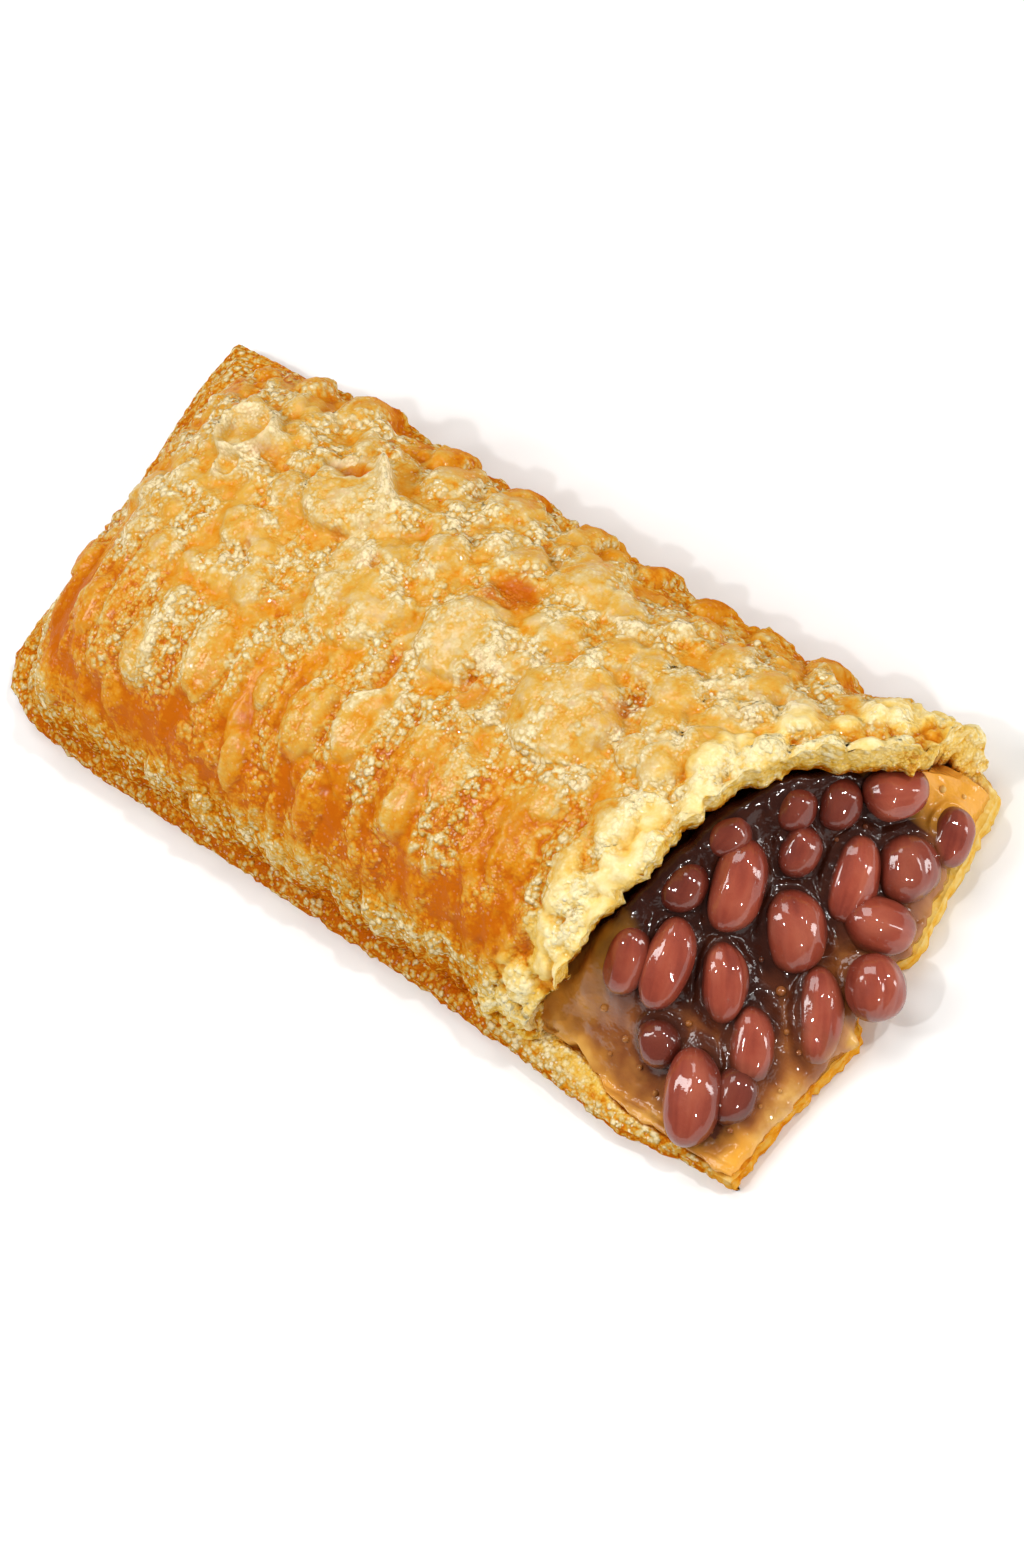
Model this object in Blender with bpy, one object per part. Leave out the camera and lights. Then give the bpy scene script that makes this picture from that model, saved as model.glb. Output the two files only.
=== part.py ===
"""A fried red bean pie with one end torn off: a blistered crust shell and the bean filling in it.

Sizes are in millimetres; make_object turns them into metres. +X is the length of the pie, with
the closed crimped end at -X and the torn mouth at +X, and the pie lies on its flat underside.
"""

import math

import bmesh
import bpy
import numpy as np
from mathutils import Matrix, Vector, noise

MM = 0.001
SEED = 17.0

# The dome of the top crust
DOME_X = -50.6  # where it rises from the crimp of the closed end
DOME_RISE = 21.0  # length over which it reaches its full height
DOME_NEAR = 24.5  # half width on the -Y side
DOME_FAR_X, DOME_FAR_Y = (-45.0, 0.0, 20.0, 50.0), (25.5, 24.0, 22.6, 22.8)
DOME_LOW, DOME_HIGH = 2.6, 22.4
CORNER, CORNER_IN = 10.0, 6.5  # length and depth of the rounded corners of the closed end
ARC_SIDE, ARC_TOP = 2.7, 2.3  # powers of the cross section

# The bottom sheet with its crimped rim
SHEET_TOP = 3.2
SHEET_STEP = 2.8  # spacing of points along the rim
RIM_RINGS = ((0.0, 0.9), (0.7, 0.0), (1.5, 0.25), (2.0, 1.1), (2.5, 0.6), (SHEET_TOP, 1.5))
CLOSED_END = ((-58.4, 19.5), (-56.8, 7.2), (-55.6, -5.0), (-55.7, -15.0), (-55.3, -19.4))
NEAR_SIDE = (
    (-53.0, -22.9), (-48.6, -24.8), (-40.4, -25.7), (-20.0, -26.1), (13.0, -26.6),
    (30.0, -27.3), (42.0, -28.5), (50.0, -27.2), (55.8, -27.1),
)
MOUTH_EDGE = (
    (55.9, -22.5), (56.3, -18.0), (57.2, -12.5), (58.2, -7.6), (55.4, -5.0),
    (55.4, -1.0), (57.8, 2.6), (56.8, 9.0), (56.0, 16.0), (55.2, 21.6),
)
FAR_SIDE = (
    (50.5, 23.6), (41.0, 24.8), (36.0, 24.0), (8.0, 24.8), (-16.0, 25.9),
    (-34.0, 26.4), (-37.0, 27.4), (-41.0, 26.6), (-50.0, 26.9), (-58.0, 26.7),
)

# The torn edge of the top crust, as x at each y, and how far it leans back under itself
TEAR_Y = (-24.5, -23.0, -20.4, -15.3, -8.0, -1.7, 6.0, 8.8, 12.4, 16.6, 20.0, 23.5)
TEAR_X = (30.0, 31.8, 34.4, 36.0, 37.9, 39.8, 42.2, 44.2, 47.4, 51.0, 53.6, 52.6)
TEAR_LEAN = 0.42
TEAR_RAGGED = 0.8

# The hollow that the filling lies in
CRUST = 2.9  # thickness of the top crust
FLOOR = 2.2  # thickness of the bottom sheet under the filling
HOLLOW_PAST = 64.0
MOUTH_WIDER = (27.0, 32.0, 2.7)  # from x, to x: the near side opens at the floor by this much
GAP = 0.35  # between crust and filling

# The sloping face of the filling: its height under the torn edge, falling to the mouth's edge
FACE_Y = (-25.0, -22.6, -19.0, -14.7, -7.0, 0.0, 7.0, 13.4, 17.0, 20.0)
FACE_HIGH = (3.8, 6.5, 11.0, 15.0, 17.5, 18.0, 17.5, 15.5, 12.0, 6.5)
FACE_X = (31.0, 31.6, 33.8, 35.0, 37.0, 39.0, 42.2, 46.2, 50.0, 52.5)
FACE_END, FACE_LOW = 56.0, 3.6
FACE_BACK = 1.3  # the sauce lies this far behind the beans
FILL_X0 = -45.8
SPILL = (-3.0, 1.7, 2.6)  # where the sauce hangs over the mouth's edge: y, how far, how wide

# Blisters of the top crust: x, y, radius, height, share of a sunken middle
BLISTERS = (
    (-33.9, 11.4, 3.6, 1.3, 0.7), (-17.6, 10.6, 4.8, 2.0, 0.4), (-27.6, 21.6, 2.8, 1.9, 0.0),
    (-3.7, 10.4, 2.8, 1.3, 0.0), (-25.0, 8.4, 2.4, 0.9, 0.0), (-25.9, 2.0, 2.9, 1.0, 0.0),
    (-8.5, 0.6, 5.8, 1.2, 0.0), (4.6, 2.8, 5.2, 1.4, 0.2), (20.0, 1.4, 6.3, 1.8, 0.1),
    (-28.7, -14.6, 2.8, 0.9, 0.0), (-19.6, -12.2, 3.2, 1.1, 0.0), (-5.5, -12.1, 3.4, 1.1, 0.0),
    (0.4, -10.4, 3.2, 1.0, 0.0), (13.3, -10.0, 2.4, 0.8, 0.0), (-11.4, 18.9, 3.0, 1.2, 0.0),
    (-3.6, 19.6, 3.0, 1.1, 0.0), (10.8, 15.6, 3.8, 1.3, 0.0), (28.5, 9.4, 3.0, 1.2, 0.0),
    (24.4, 10.3, 2.4, 0.9, 0.0), (31.2, 2.6, 3.0, 1.1, 0.0), (35.2, 5.0, 3.0, 1.1, 0.0),
    (31.8, -5.8, 3.0, 1.1, 0.0), (35.0, 14.6, 3.0, 1.0, 0.0), (42.2, 12.7, 2.6, 0.9, 0.0),
    (46.5, 18.9, 2.8, 1.0, 0.0), (-45.0, 17.0, 3.0, 0.9, 0.0), (24.2, -7.2, 2.4, 0.8, 0.0),
    (-0.3, -3.5, 2.4, -0.9, 0.0), (-20.8, 13.4, 2.0, -0.8, 0.0),
)

# Beans at the mouth: x, y, z, length, width, turn in the face from the Y direction (degrees)
BEANS = (
    (43.1, -3.1, 14.4, 9.8, 5.5, -14), (48.7, -3.0, 9.3, 8.8, 6.2, -40),
    (50.2, 4.7, 8.6, 9.4, 5.4, -18), (45.7, 3.4, 13.1, 5.2, 4.0, -12),
    (53.3, 9.1, 5.9, 7.1, 6.6, -36), (54.9, 14.4, 4.3, 6.2, 4.4, -22),
    (50.3, 13.7, 12.3, 6.5, 5.3, 54), (54.3, 2.5, 4.3, 7.5, 5.7, 72),
    (57.9, -3.1, 4.2, 6.7, 5.8, -38), (54.3, -8.4, 4.0, 9.9, 4.4, -32),
    (50.8, -15.0, 5.9, 8.9, 4.8, -24), (51.9, -19.8, 4.1, 6.2, 4.2, -10),
    (48.9, -22.4, 6.6, 10.1, 5.6, -22), (43.0, -19.5, 7.7, 5.0, 4.2, -18),
    (41.1, -13.3, 12.9, 9.6, 4.7, -10), (37.5, -15.2, 13.4, 7.5, 4.4, -2),
    (46.0, -11.4, 10.0, 8.1, 4.4, -30), (40.2, 0.2, 17.0, 4.7, 4.0, 14),
    (43.6, 6.5, 15.4, 4.7, 4.2, -20), (46.6, 9.6, 13.8, 5.2, 4.2, -24),
    (39.2, -6.4, 16.2, 5.2, 4.2, 0),
)
BEAN_SIDES, BEAN_RINGS = 10, 7
BEAN_SWELL = 1.07  # makes up for what the flat facets take off


def start():
    for obj in list(bpy.data.objects):
        bpy.data.objects.remove(obj, do_unlink=True)


def smooth(a, b, value):
    t = min(max((value - a) / (b - a), 0.0), 1.0)
    return t * t * (3 - 2 * t)


def lump(x, y, size, layer):
    return noise.noise(Vector((x / size, y / size, SEED + layer)))


def far_half(x):
    return float(np.interp(x, DOME_FAR_X, DOME_FAR_Y))


def half_at(x, side, inset=0.0):
    """Half width of the dome, or of the dome drawn in by inset, on the side of y given."""
    t = min(max((x - DOME_X - inset) / CORNER, 0.0), 1.0)
    corner = CORNER_IN * (1 - math.sqrt(1 - (1 - t) ** 2))
    return (DOME_NEAR if side < 0 else far_half(x)) - inset - corner


def rise_at(x, start_x):
    s = min(max((x - start_x) / DOME_RISE, 0.0), 1.0)
    return (1 - (1 - s) ** 2.3) ** (1 / 1.7)


def arc(phi):
    """Side and height of the cross section at an angle from straight up, each up to 1."""
    side = math.copysign(abs(math.sin(phi)) ** (2 / ARC_SIDE), phi)
    return side, max(math.cos(phi), 0.0) ** (2 / ARC_TOP)


def arch_height(x, y, inset):
    """Height of the dome over a point, the dome being drawn in by inset all round."""
    half = half_at(x, y, inset)
    share = max(1 - min(abs(y) / half, 1.0) ** ARC_SIDE, 0.0) ** (1 / ARC_TOP)
    base = DOME_LOW if inset == 0 else FLOOR
    return base + (DOME_HIGH - inset - base) * rise_at(x, DOME_X + inset) * share


def tear_x(y):
    ragged = TEAR_RAGGED * (lump(3.0, y, 1.9, 3) + 0.7 * lump(9.0, y, 0.9, 4))
    return float(np.interp(y, TEAR_Y, TEAR_X)) + ragged


def face_height(x, y):
    """Height of the filling at the mouth, where the beans' middles lie."""
    high = float(np.interp(y, FACE_Y, FACE_HIGH))
    x0 = float(np.interp(y, FACE_Y, FACE_X))
    s = (x - x0) / (FACE_END - x0)
    if s <= 0:
        return high
    return high + (FACE_LOW - high) * min(s, 1.2)


def relief(x, y):
    """How far the fried surface stands out: placed blisters over smaller lumps and furrows."""
    out = 0.8 * lump(x, y, 5.2, 0) + 0.5 * lump(x, y, 2.9, 1)
    near = smooth(-6.0, -14.0, y)
    out += near * 0.8 * noise.noise(Vector((x / 2.4, y / 10.0, SEED + 2)))
    for bx, by, radius, height, sunk in BLISTERS:
        d = math.hypot(x - bx, (y - by) * (0.75 if by < -9 else 1.0)) / radius
        if d < 1.0:
            out += height * ((1 - d * d) ** 0.6 - sunk * math.exp(-7.0 * d * d))
    return out


def make_object(name, bm, collection, material):
    """Turns the bmesh into an object, in metres, with its faces outward."""
    bmesh.ops.remove_doubles(bm, verts=bm.verts, dist=1e-4)
    bmesh.ops.recalc_face_normals(bm, faces=bm.faces)
    bmesh.ops.scale(bm, verts=bm.verts, vec=(MM, MM, MM))
    mesh = bpy.data.meshes.new(name)
    bm.to_mesh(mesh)
    bm.free()
    obj = bpy.data.objects.new(name, mesh)
    if material:
        obj.data.materials.append(material)
    collection.objects.link(obj)
    return obj


def surface_block(columns, rows, place, floor, lean=0.0):
    """A grid placed by place(u, v), its border drawn down to floor and closed underneath."""
    bm = bmesh.new()
    bmesh.ops.create_grid(bm, x_segments=columns, y_segments=rows, size=1.0)
    for vert in bm.verts:
        vert.co = Vector(place((vert.co.x + 1) / 2, vert.co.y))
    return bm, lambda: close_block(bm, floor, lean)


def close_block(bm, floor, lean):
    border = [edge for edge in bm.edges if edge.is_boundary]
    made = bmesh.ops.extrude_edge_only(bm, edges=border)["geom"]
    for vert in (item for item in made if isinstance(item, bmesh.types.BMVert)):
        drop = vert.co.z - floor
        if vert.co.x > TEAR_X[0] - 2.0:
            vert.co.x -= lean * drop
        vert.co.z = floor
    lower = [edge for edge in bm.edges if edge.is_boundary]
    bmesh.ops.contextual_create(bm, geom=lower)
    return bm


def loaf(collection, material):
    """The domed top crust as a solid block, with its relief and the torn end."""

    def place(u, v):
        side, high = arc(v * math.pi / 2)
        u = u ** 1.18
        y_mid = side * DOME_NEAR
        x1 = tear_x(y_mid)
        x = DOME_X + (x1 - DOME_X) * u
        y = side * half_at(x, side)
        z = DOME_LOW + (DOME_HIGH - DOME_LOW) * rise_at(x, DOME_X) * high
        return x, y, z

    bm, close = surface_block(66, 44, place, 1.3, TEAR_LEAN)
    bm.normal_update()
    moves = [(vert, vert.normal.copy(), relief(vert.co.x, vert.co.y)) for vert in bm.verts]
    for vert, normal, out in moves:
        low = smooth(DOME_LOW - 0.5, DOME_LOW + 3.0, vert.co.z)
        vert.co += normal * out * (0.35 + 0.65 * low)
    return make_object("crust", close(), collection, material)


def walk(points, step):
    """Points spaced evenly round a closed line, with the wavering of a hand-cut edge."""
    loop = [Vector(p) for p in points] + [Vector(points[0])]
    out, carry = [], 0.0
    for a, b in zip(loop, loop[1:]):
        length = (b - a).length
        at = carry
        while at < length:
            out.append(a.lerp(b, at / length))
            at += step
        carry = at - length
    return out


def inward(points):
    """Unit vectors pointing into a line that runs anticlockwise."""
    count = len(points)
    out = []
    for i in range(count):
        along = points[(i + 1) % count] - points[i - 1]
        out.append(Vector((-along.y, along.x)).normalized())
    return out


def sheet(collection, material):
    """The bottom crust: a flat sheet whose rim shows two layers pressed together."""
    corners = (*CLOSED_END, *NEAR_SIDE, *MOUTH_EDGE, *FAR_SIDE)
    points = walk(corners, SHEET_STEP)
    sides = inward(points)
    bm = bmesh.new()
    rings = []
    for level, (z, inset) in enumerate(RIM_RINGS):
        ring = []
        for p, side in zip(points, sides):
            waver = 0.45 * lump(p.x, p.y, 3.1, 5) + 0.25 * lump(p.x, p.y, 2.0, 6 + level)
            at = p + side * (inset + (waver if level else 0.3 + waver * 0.5))
            up = 0.0 if level in (0, len(RIM_RINGS) - 1) else 0.25 * lump(p.x, p.y, 4.0, 12)
            ring.append(bm.verts.new((at.x, at.y, z + up)))
        rings.append(ring)
    count = len(points)
    for low, high in zip(rings, rings[1:]):
        for i in range(count):
            j = (i + 1) % count
            bm.faces.new((low[i], low[j], high[j], high[i]))
    bm.faces.new(list(reversed(rings[0])))
    bm.faces.new(rings[-1])
    return make_object("sheet", bm, collection, material)


def wall_at(x, side, high):
    """Half width of the hollow, wider at the near side's foot where the wall is torn off."""
    wider = MOUTH_WIDER[2] * smooth(*MOUTH_WIDER[:2], x) * (1 - high) ** 2 if side < 0 else 0.0
    return half_at(x, side, CRUST) + wider


def hollow(collection):
    """The space inside the crust, running out past the mouth."""

    def place(u, v):
        side, high = arc(v * math.pi / 2)
        u = u ** 1.25
        x0 = DOME_X + CRUST
        x = x0 + (HOLLOW_PAST - x0) * u
        y = side * wall_at(x, side, high)
        z = FLOOR + (DOME_HIGH - CRUST - FLOOR) * rise_at(x, x0) * high
        return x, y, z

    _, close = surface_block(26, 20, place, FLOOR - 0.0)
    return make_object("hollow", close(), collection, None)


def core(collection, material):
    """The sauce and hidden beans as one solid, sloping down to the mouth's edge."""
    mouth_y = [y for _, y in MOUTH_EDGE]
    mouth_x = [x for x, _ in MOUTH_EDGE]

    def place(u, v):
        side, _ = arc(v * math.pi / 2)
        u = 0.42 * u / 0.3 if u < 0.3 else 0.42 + 0.58 * (u - 0.3) / 0.7
        end = float(np.interp(side * 23.0, mouth_y, mouth_x)) - 0.7
        end += SPILL[1] * math.exp(-(((side * 23.0 - SPILL[0]) / SPILL[2]) ** 2))
        x = FILL_X0 + (end - FILL_X0) * u
        y = side * (wall_at(x - 1.5 * (x > 0), side, 0.0) - GAP - 0.15)
        covered = x < float(np.interp(y, TEAR_Y, TEAR_X)) + 2.0
        arch = arch_height(x, y, CRUST + GAP) if covered else DOME_HIGH
        back = FACE_BACK * smooth(FACE_END + 1.0, FACE_END - 8.0, x)
        z = min(arch, face_height(x, y) - back + 0.25 * lump(x, y, 3.0, 7))
        return x, y, max(z, FLOOR + 1.4)

    _, close = surface_block(36, 18, place, FLOOR + GAP)
    return make_object("bean_filling", close(), collection, material)


def bean(collection, values):
    """One bean, lying in the face of the filling: plump, a little bent, flatter at one side."""
    x, y, z, length, width, turn = values
    z = max(z, FLOOR + GAP + 0.35 + width / 2)
    e = 0.5
    slope_x = (face_height(x + e, y) - face_height(x - e, y)) / (2 * e)
    slope_y = (face_height(x, y + e) - face_height(x, y - e)) / (2 * e)
    normal = Vector((-slope_x, -slope_y, 1.0)).normalized()
    up = (Vector((0, 1, slope_y)) - normal * Vector((0, 1, slope_y)).dot(normal)).normalized()
    across = up.cross(normal)
    angle = math.radians(turn)
    axis = up * math.cos(angle) + across * math.sin(angle)
    turned = Matrix((axis, normal.cross(axis), normal)).transposed()
    bm = bmesh.new()
    bmesh.ops.create_uvsphere(bm, u_segments=BEAN_SIDES, v_segments=BEAN_RINGS, radius=1.0)
    for vert in bm.verts:
        a, b, c = vert.co.z, vert.co.x, vert.co.y
        plump = 1.0 + 0.10 * (1 - abs(a)) * abs(a)
        local = Vector((
            a * length / 2,
            b * plump * width / 2 + 0.05 * width * a * a,
            c * plump * width * 0.47,
        )) * BEAN_SWELL
        vert.co = Vector((x, y, z)) + turned @ local
    return make_object("bean", bm, collection, None)


def apply_boolean(obj, operation, solver, other=None, collection=None):
    """Applies a Boolean to obj and removes what it was joined with or cut by."""
    modifier = obj.modifiers.new(operation.lower(), "BOOLEAN")
    modifier.operation = operation
    modifier.solver = solver
    if collection:
        modifier.operand_type = "COLLECTION"
        modifier.collection = collection
    else:
        modifier.object = other
    graph = bpy.context.evaluated_depsgraph_get()
    mesh = bpy.data.meshes.new_from_object(obj.evaluated_get(graph))
    obj.modifiers.clear()
    obj.data = mesh
    for used in list(collection.objects) if collection else [other]:
        bpy.data.objects.remove(used, do_unlink=True)


def material_of(name, color, roughness):
    material = bpy.data.materials.new(name)
    material.use_nodes = True
    shader = material.node_tree.nodes["Principled BSDF"]
    shader.inputs["Base Color"].default_value = (*color, 1.0)
    shader.inputs["Roughness"].default_value = roughness
    return material


def centre(objects):
    """Moves the meshes so that the origin is under the middle of the whole box."""
    points = [Vector(vert.co) for obj in objects for vert in obj.data.vertices]
    low = Vector(min(p[i] for p in points) for i in range(3))
    high = Vector(max(p[i] for p in points) for i in range(3))
    shift = Vector(((low.x + high.x) / 2, (low.y + high.y) / 2, low.z))
    for obj in objects:
        obj.data.transform(Matrix.Translation(-shift))
    print("shift in mm:", [round(value / MM, 3) for value in shift])


def main():
    start()
    pie = bpy.data.collections.new("red_bean_pie")
    tools = bpy.data.collections.new("join_and_cut")
    beans = bpy.data.collections.new("beans_to_join")
    for collection in (pie, tools, beans):
        bpy.context.scene.collection.children.link(collection)
    crust_look = material_of("fried_crust", (0.80, 0.46, 0.13), 0.5)
    bean_look = material_of("bean_filling", (0.30, 0.09, 0.06), 0.25)

    crust = loaf(pie, crust_look)
    apply_boolean(crust, "UNION", "MANIFOLD", other=sheet(tools, crust_look))
    apply_boolean(crust, "DIFFERENCE", "MANIFOLD", other=hollow(tools))

    filling = core(pie, bean_look)
    for values in BEANS:
        bean(beans, values)
    apply_boolean(filling, "UNION", "MANIFOLD", collection=beans)
    centre([crust, filling])


main()
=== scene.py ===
"""A fried red bean pie with one end torn off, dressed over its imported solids.

Shapes are worked out in millimetres in the maker's own drawing, whose origin lies SHIFT away from
the frame's, and keep() turns them into metres in the frame. +X runs to the torn mouth, -Y is the
near side, and the pie lies on z = 0.
"""

import math

import bmesh
import bpy
import numpy as np
from mathutils import Matrix, Vector, kdtree, noise


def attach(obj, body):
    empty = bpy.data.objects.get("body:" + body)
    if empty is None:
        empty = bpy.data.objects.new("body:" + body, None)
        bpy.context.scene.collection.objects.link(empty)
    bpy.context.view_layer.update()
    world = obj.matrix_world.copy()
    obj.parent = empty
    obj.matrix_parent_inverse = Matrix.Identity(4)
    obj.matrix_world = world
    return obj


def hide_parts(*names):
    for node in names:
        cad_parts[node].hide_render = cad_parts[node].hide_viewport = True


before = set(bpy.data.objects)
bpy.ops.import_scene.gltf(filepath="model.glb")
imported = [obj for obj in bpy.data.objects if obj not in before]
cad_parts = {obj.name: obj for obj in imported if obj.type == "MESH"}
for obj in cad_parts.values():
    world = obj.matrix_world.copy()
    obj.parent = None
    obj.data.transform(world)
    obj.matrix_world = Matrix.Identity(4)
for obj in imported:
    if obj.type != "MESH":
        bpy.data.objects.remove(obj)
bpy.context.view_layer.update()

MM = 0.001
SHIFT = Vector((1.338, -0.509, 0.0))
SEED = 17.0

# Shares from 0 to 1 that the surfaces carry for their materials
CRUST_LOOKS = ("cap", "toast", "torn", "calm", "oily")
BEAN_LOOKS = ("dark", "skin", "wet", "deep")

# The dome of the top crust
DOME_X, DOME_RISE = -50.6, 21.0
DOME_NEAR = 24.5
DOME_FAR_X, DOME_FAR_Y = (-45.0, 0.0, 20.0, 50.0), (25.5, 24.0, 22.6, 22.8)
DOME_LOW, DOME_HIGH = 2.6, 22.4
CORNER, CORNER_IN = 10.0, 6.5
ARC_SIDE, ARC_TOP = 2.7, 2.3
DOME_ALONG, DOME_ACROSS = 340, 262  # faces of the fine surface
DOME_SKIRT = (1.3, 0.42, 28.0)  # how low it is drawn down, how far it leans back, from which x
TABLE_STEPS = 1600

# The bottom sheet
SHEET_TOP = 3.2
SHEET_LONG, SHEET_WIDE = 113.0, 52.0
SHEET_ALONG, SHEET_ACROSS = 330, 150
CROWDING = 0.13
CLOSED_END = ((-58.4, 19.5), (-56.8, 7.2), (-55.6, -5.0), (-55.7, -15.0), (-55.3, -19.4))
NEAR_SIDE = (
    (-53.0, -22.9), (-48.6, -24.8), (-40.4, -25.7), (-20.0, -26.1), (13.0, -26.6),
    (30.0, -27.3), (42.0, -28.5), (50.0, -27.2), (55.8, -27.1),
)
MOUTH_EDGE = (
    (55.9, -22.5), (56.3, -18.0), (57.2, -12.5), (58.2, -7.6), (55.4, -5.0),
    (55.4, -1.0), (57.8, 2.6), (56.8, 9.0), (56.0, 16.0), (55.2, 21.6),
)
FAR_SIDE = (
    (50.5, 23.6), (41.0, 24.8), (36.0, 24.0), (8.0, 24.8), (-16.0, 25.9),
    (-34.0, 26.4), (-37.0, 27.4), (-41.0, 26.6), (-50.0, 26.9), (-58.0, 26.7),
)

# Levels of the pressed rim below the sheet's border: height, and how far out
RIM_LEVELS = (
    (2.55, 0.10), (2.2, -0.45), (1.95, -0.75), (1.7, -0.35), (1.3, 0.15),
    (0.8, 0.25), (0.35, -0.05), (0.0, -0.7),
)

# The torn edge of the top crust
TEAR_Y = (-24.5, -23.0, -20.4, -15.3, -8.0, -1.7, 6.0, 8.8, 12.4, 16.6, 20.0, 23.5)
TEAR_X = (30.0, 31.8, 34.4, 36.0, 37.9, 39.8, 42.2, 44.2, 47.4, 51.0, 53.6, 52.6)
TEAR_BAND = 3.6  # how far down the torn wall is worked finely
TEAR_ROWS = 12

# The hollow and the filling in it
CRUST, FLOOR, GAP = 2.9, 2.2, 0.35
MOUTH_WIDER = (27.0, 32.0, 1.9)
CUTTER_END, CUTTER_BELOW = 64.0, 1.4
CUTTER_ALONG, CUTTER_ACROSS = 60, 70
FACE_Y = (-25.0, -22.6, -19.0, -14.7, -7.0, 0.0, 7.0, 13.4, 17.0, 20.0)
FACE_HIGH = (3.8, 6.5, 11.0, 15.0, 17.5, 18.0, 17.5, 15.5, 12.0, 6.5)
FACE_X = (31.0, 31.6, 33.8, 35.0, 37.0, 39.0, 42.2, 46.2, 50.0, 52.5)
FACE_END, FACE_LOW = 56.0, 3.6
FACE_BACK = 0.45
SPILL = (-3.0, 2.3, 2.8)
FILL_X0 = -45.8
SYRUP_ALONG, SYRUP_ACROSS = 230, 200
HIDDEN_SHARE = 0.06  # of the syrup's length in faces, for all that lies behind the mouth
SYRUP_HALF, SYRUP_EDGE = 24.0, -0.25

# Blisters: x, y, half width along x, half width across, height, sunken middle, toast of the cap
BLISTERS = (
    (-34.3, 11.7, 3.6, 3.7, 1.3, 0.75, 0.1), (-33.0, 7.4, 1.9, 1.9, 0.7, 0.7, 0.1),
    (-18.0, 10.8, 5.0, 5.0, 2.0, 0.2, 0), (-27.6, 21.6, 2.8, 2.6, 2.1, 0, 0.1),
    (-3.7, 10.4, 2.7, 2.6, 1.4, 0, 0), (-25.0, 8.4, 2.2, 2.2, 0.9, 0, 0.1),
    (-25.9, 2.0, 2.8, 2.8, 0.9, 0, 0.2), (-8.5, 0.6, 5.8, 5.0, 1.0, 0, 0.25),
    (4.6, 2.8, 5.0, 4.6, 1.4, 0.3, 0), (20.0, 1.4, 6.2, 5.8, 1.8, 0.15, 0.1),
    (-28.7, -14.6, 2.2, 3.4, 1.0, 0, 0.1), (-19.6, -12.2, 2.6, 4.4, 1.2, 0, 0.15),
    (-5.5, -12.1, 2.9, 4.6, 1.2, 0, 0.1), (0.6, -10.0, 2.6, 4.2, 1.0, 0, 0),
    (-12.4, -19.0, 1.5, 2.6, 0.9, 0, 0.1), (-1.3, -18.8, 1.8, 3.0, 1.0, 0, 0.1),
    (-11.8, -11.7, 1.5, 2.4, 0.8, 0, 0.1), (-38.0, -13.0, 2.2, 3.4, 0.9, 0, 0.15),
    (13.3, -10.0, 2.0, 3.0, 0.8, 0, 0.1), (9.8, -15.2, 1.6, 2.6, 0.8, 0, 0.1),
    (8.7, -8.0, 1.6, 2.2, 0.7, 0, 0.1), (-11.4, 18.9, 2.8, 2.8, 1.3, 0, 0),
    (-3.6, 19.6, 2.8, 2.6, 1.2, 0, 0), (10.8, 15.6, 3.6, 3.6, 1.4, 0, 0),
    (28.5, 9.4, 2.8, 2.6, 1.3, 0.1, 0), (24.4, 10.3, 2.2, 2.2, 1.0, 0, 0),
    (29.8, 5.5, 2.4, 2.3, 1.1, 0.1, 0), (29.2, 1.3, 2.0, 2.0, 0.9, 0, 0),
    (32.6, 1.4, 2.4, 2.3, 1.1, 0.1, 0), (36.0, 5.0, 3.0, 2.8, 1.3, 0.15, 0),
    (31.8, -5.8, 2.8, 2.6, 1.2, 0.15, 0), (34.6, -10.4, 1.9, 2.0, 0.9, 0, 0),
    (30.2, -12.0, 1.8, 2.2, 0.8, 0, 0), (35.6, 14.6, 2.3, 2.3, 1.1, 0, 0),
    (30.1, 15.6, 2.2, 2.2, 1.0, 0, 0), (41.6, 12.7, 2.3, 2.2, 1.0, 0, 0),
    (46.5, 18.9, 2.5, 2.2, 1.1, 0, 0), (-45.0, 17.0, 3.0, 3.0, 0.8, 0, 0.2),
    (24.2, -7.2, 1.8, 2.4, 0.8, 0, 0), (-43.0, 2.0, 2.6, 2.4, 0.8, 0, 0.2),
    (-46.0, -8.0, 2.2, 2.6, 0.9, 0, 0.2), (17.0, 14.6, 2.0, 2.0, 0.9, 0, 0),
    (14.0, 9.6, 1.7, 1.7, 0.7, 0, 0.1),
    (-15.2, 21.9, 2.2, 1.8, 1.5, 0, 0), (-5.6, 22.0, 2.0, 1.7, 1.4, 0, 0),
    (4.7, 21.4, 2.3, 1.8, 1.4, 0, 0.1), (13.5, 21.4, 1.9, 1.7, 1.5, 0, 0),
    (20.8, 21.2, 2.1, 1.6, 1.3, 0, 0), (28.4, 21.6, 1.8, 1.5, 1.2, 0, 0),
    (36.4, 21.2, 2.2, 1.7, 1.4, 0, 0), (-36.0, 21.8, 2.0, 1.6, 1.2, 0, 0.1),
    (-44.5, 22.0, 1.8, 1.5, 1.1, 0, 0.1), (-22.0, 17.6, 1.9, 1.7, 1.0, 0, 0.1),
    (4.0, 14.6, 2.1, 2.0, 1.0, 0, 0.1), (-12.5, 5.0, 2.3, 2.2, 0.9, 0, 0.1),
    (20.5, 9.8, 2.4, 2.2, 1.0, 0, 0.1), (12.0, 3.4, 1.9, 1.8, 0.8, 0, 0.1),
    (-20.6, -3.0, 2.2, 3.2, 0.8, 0, 0.15), (-33.0, -4.5, 2.3, 3.0, 0.8, 0, 0.1),
)
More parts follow.
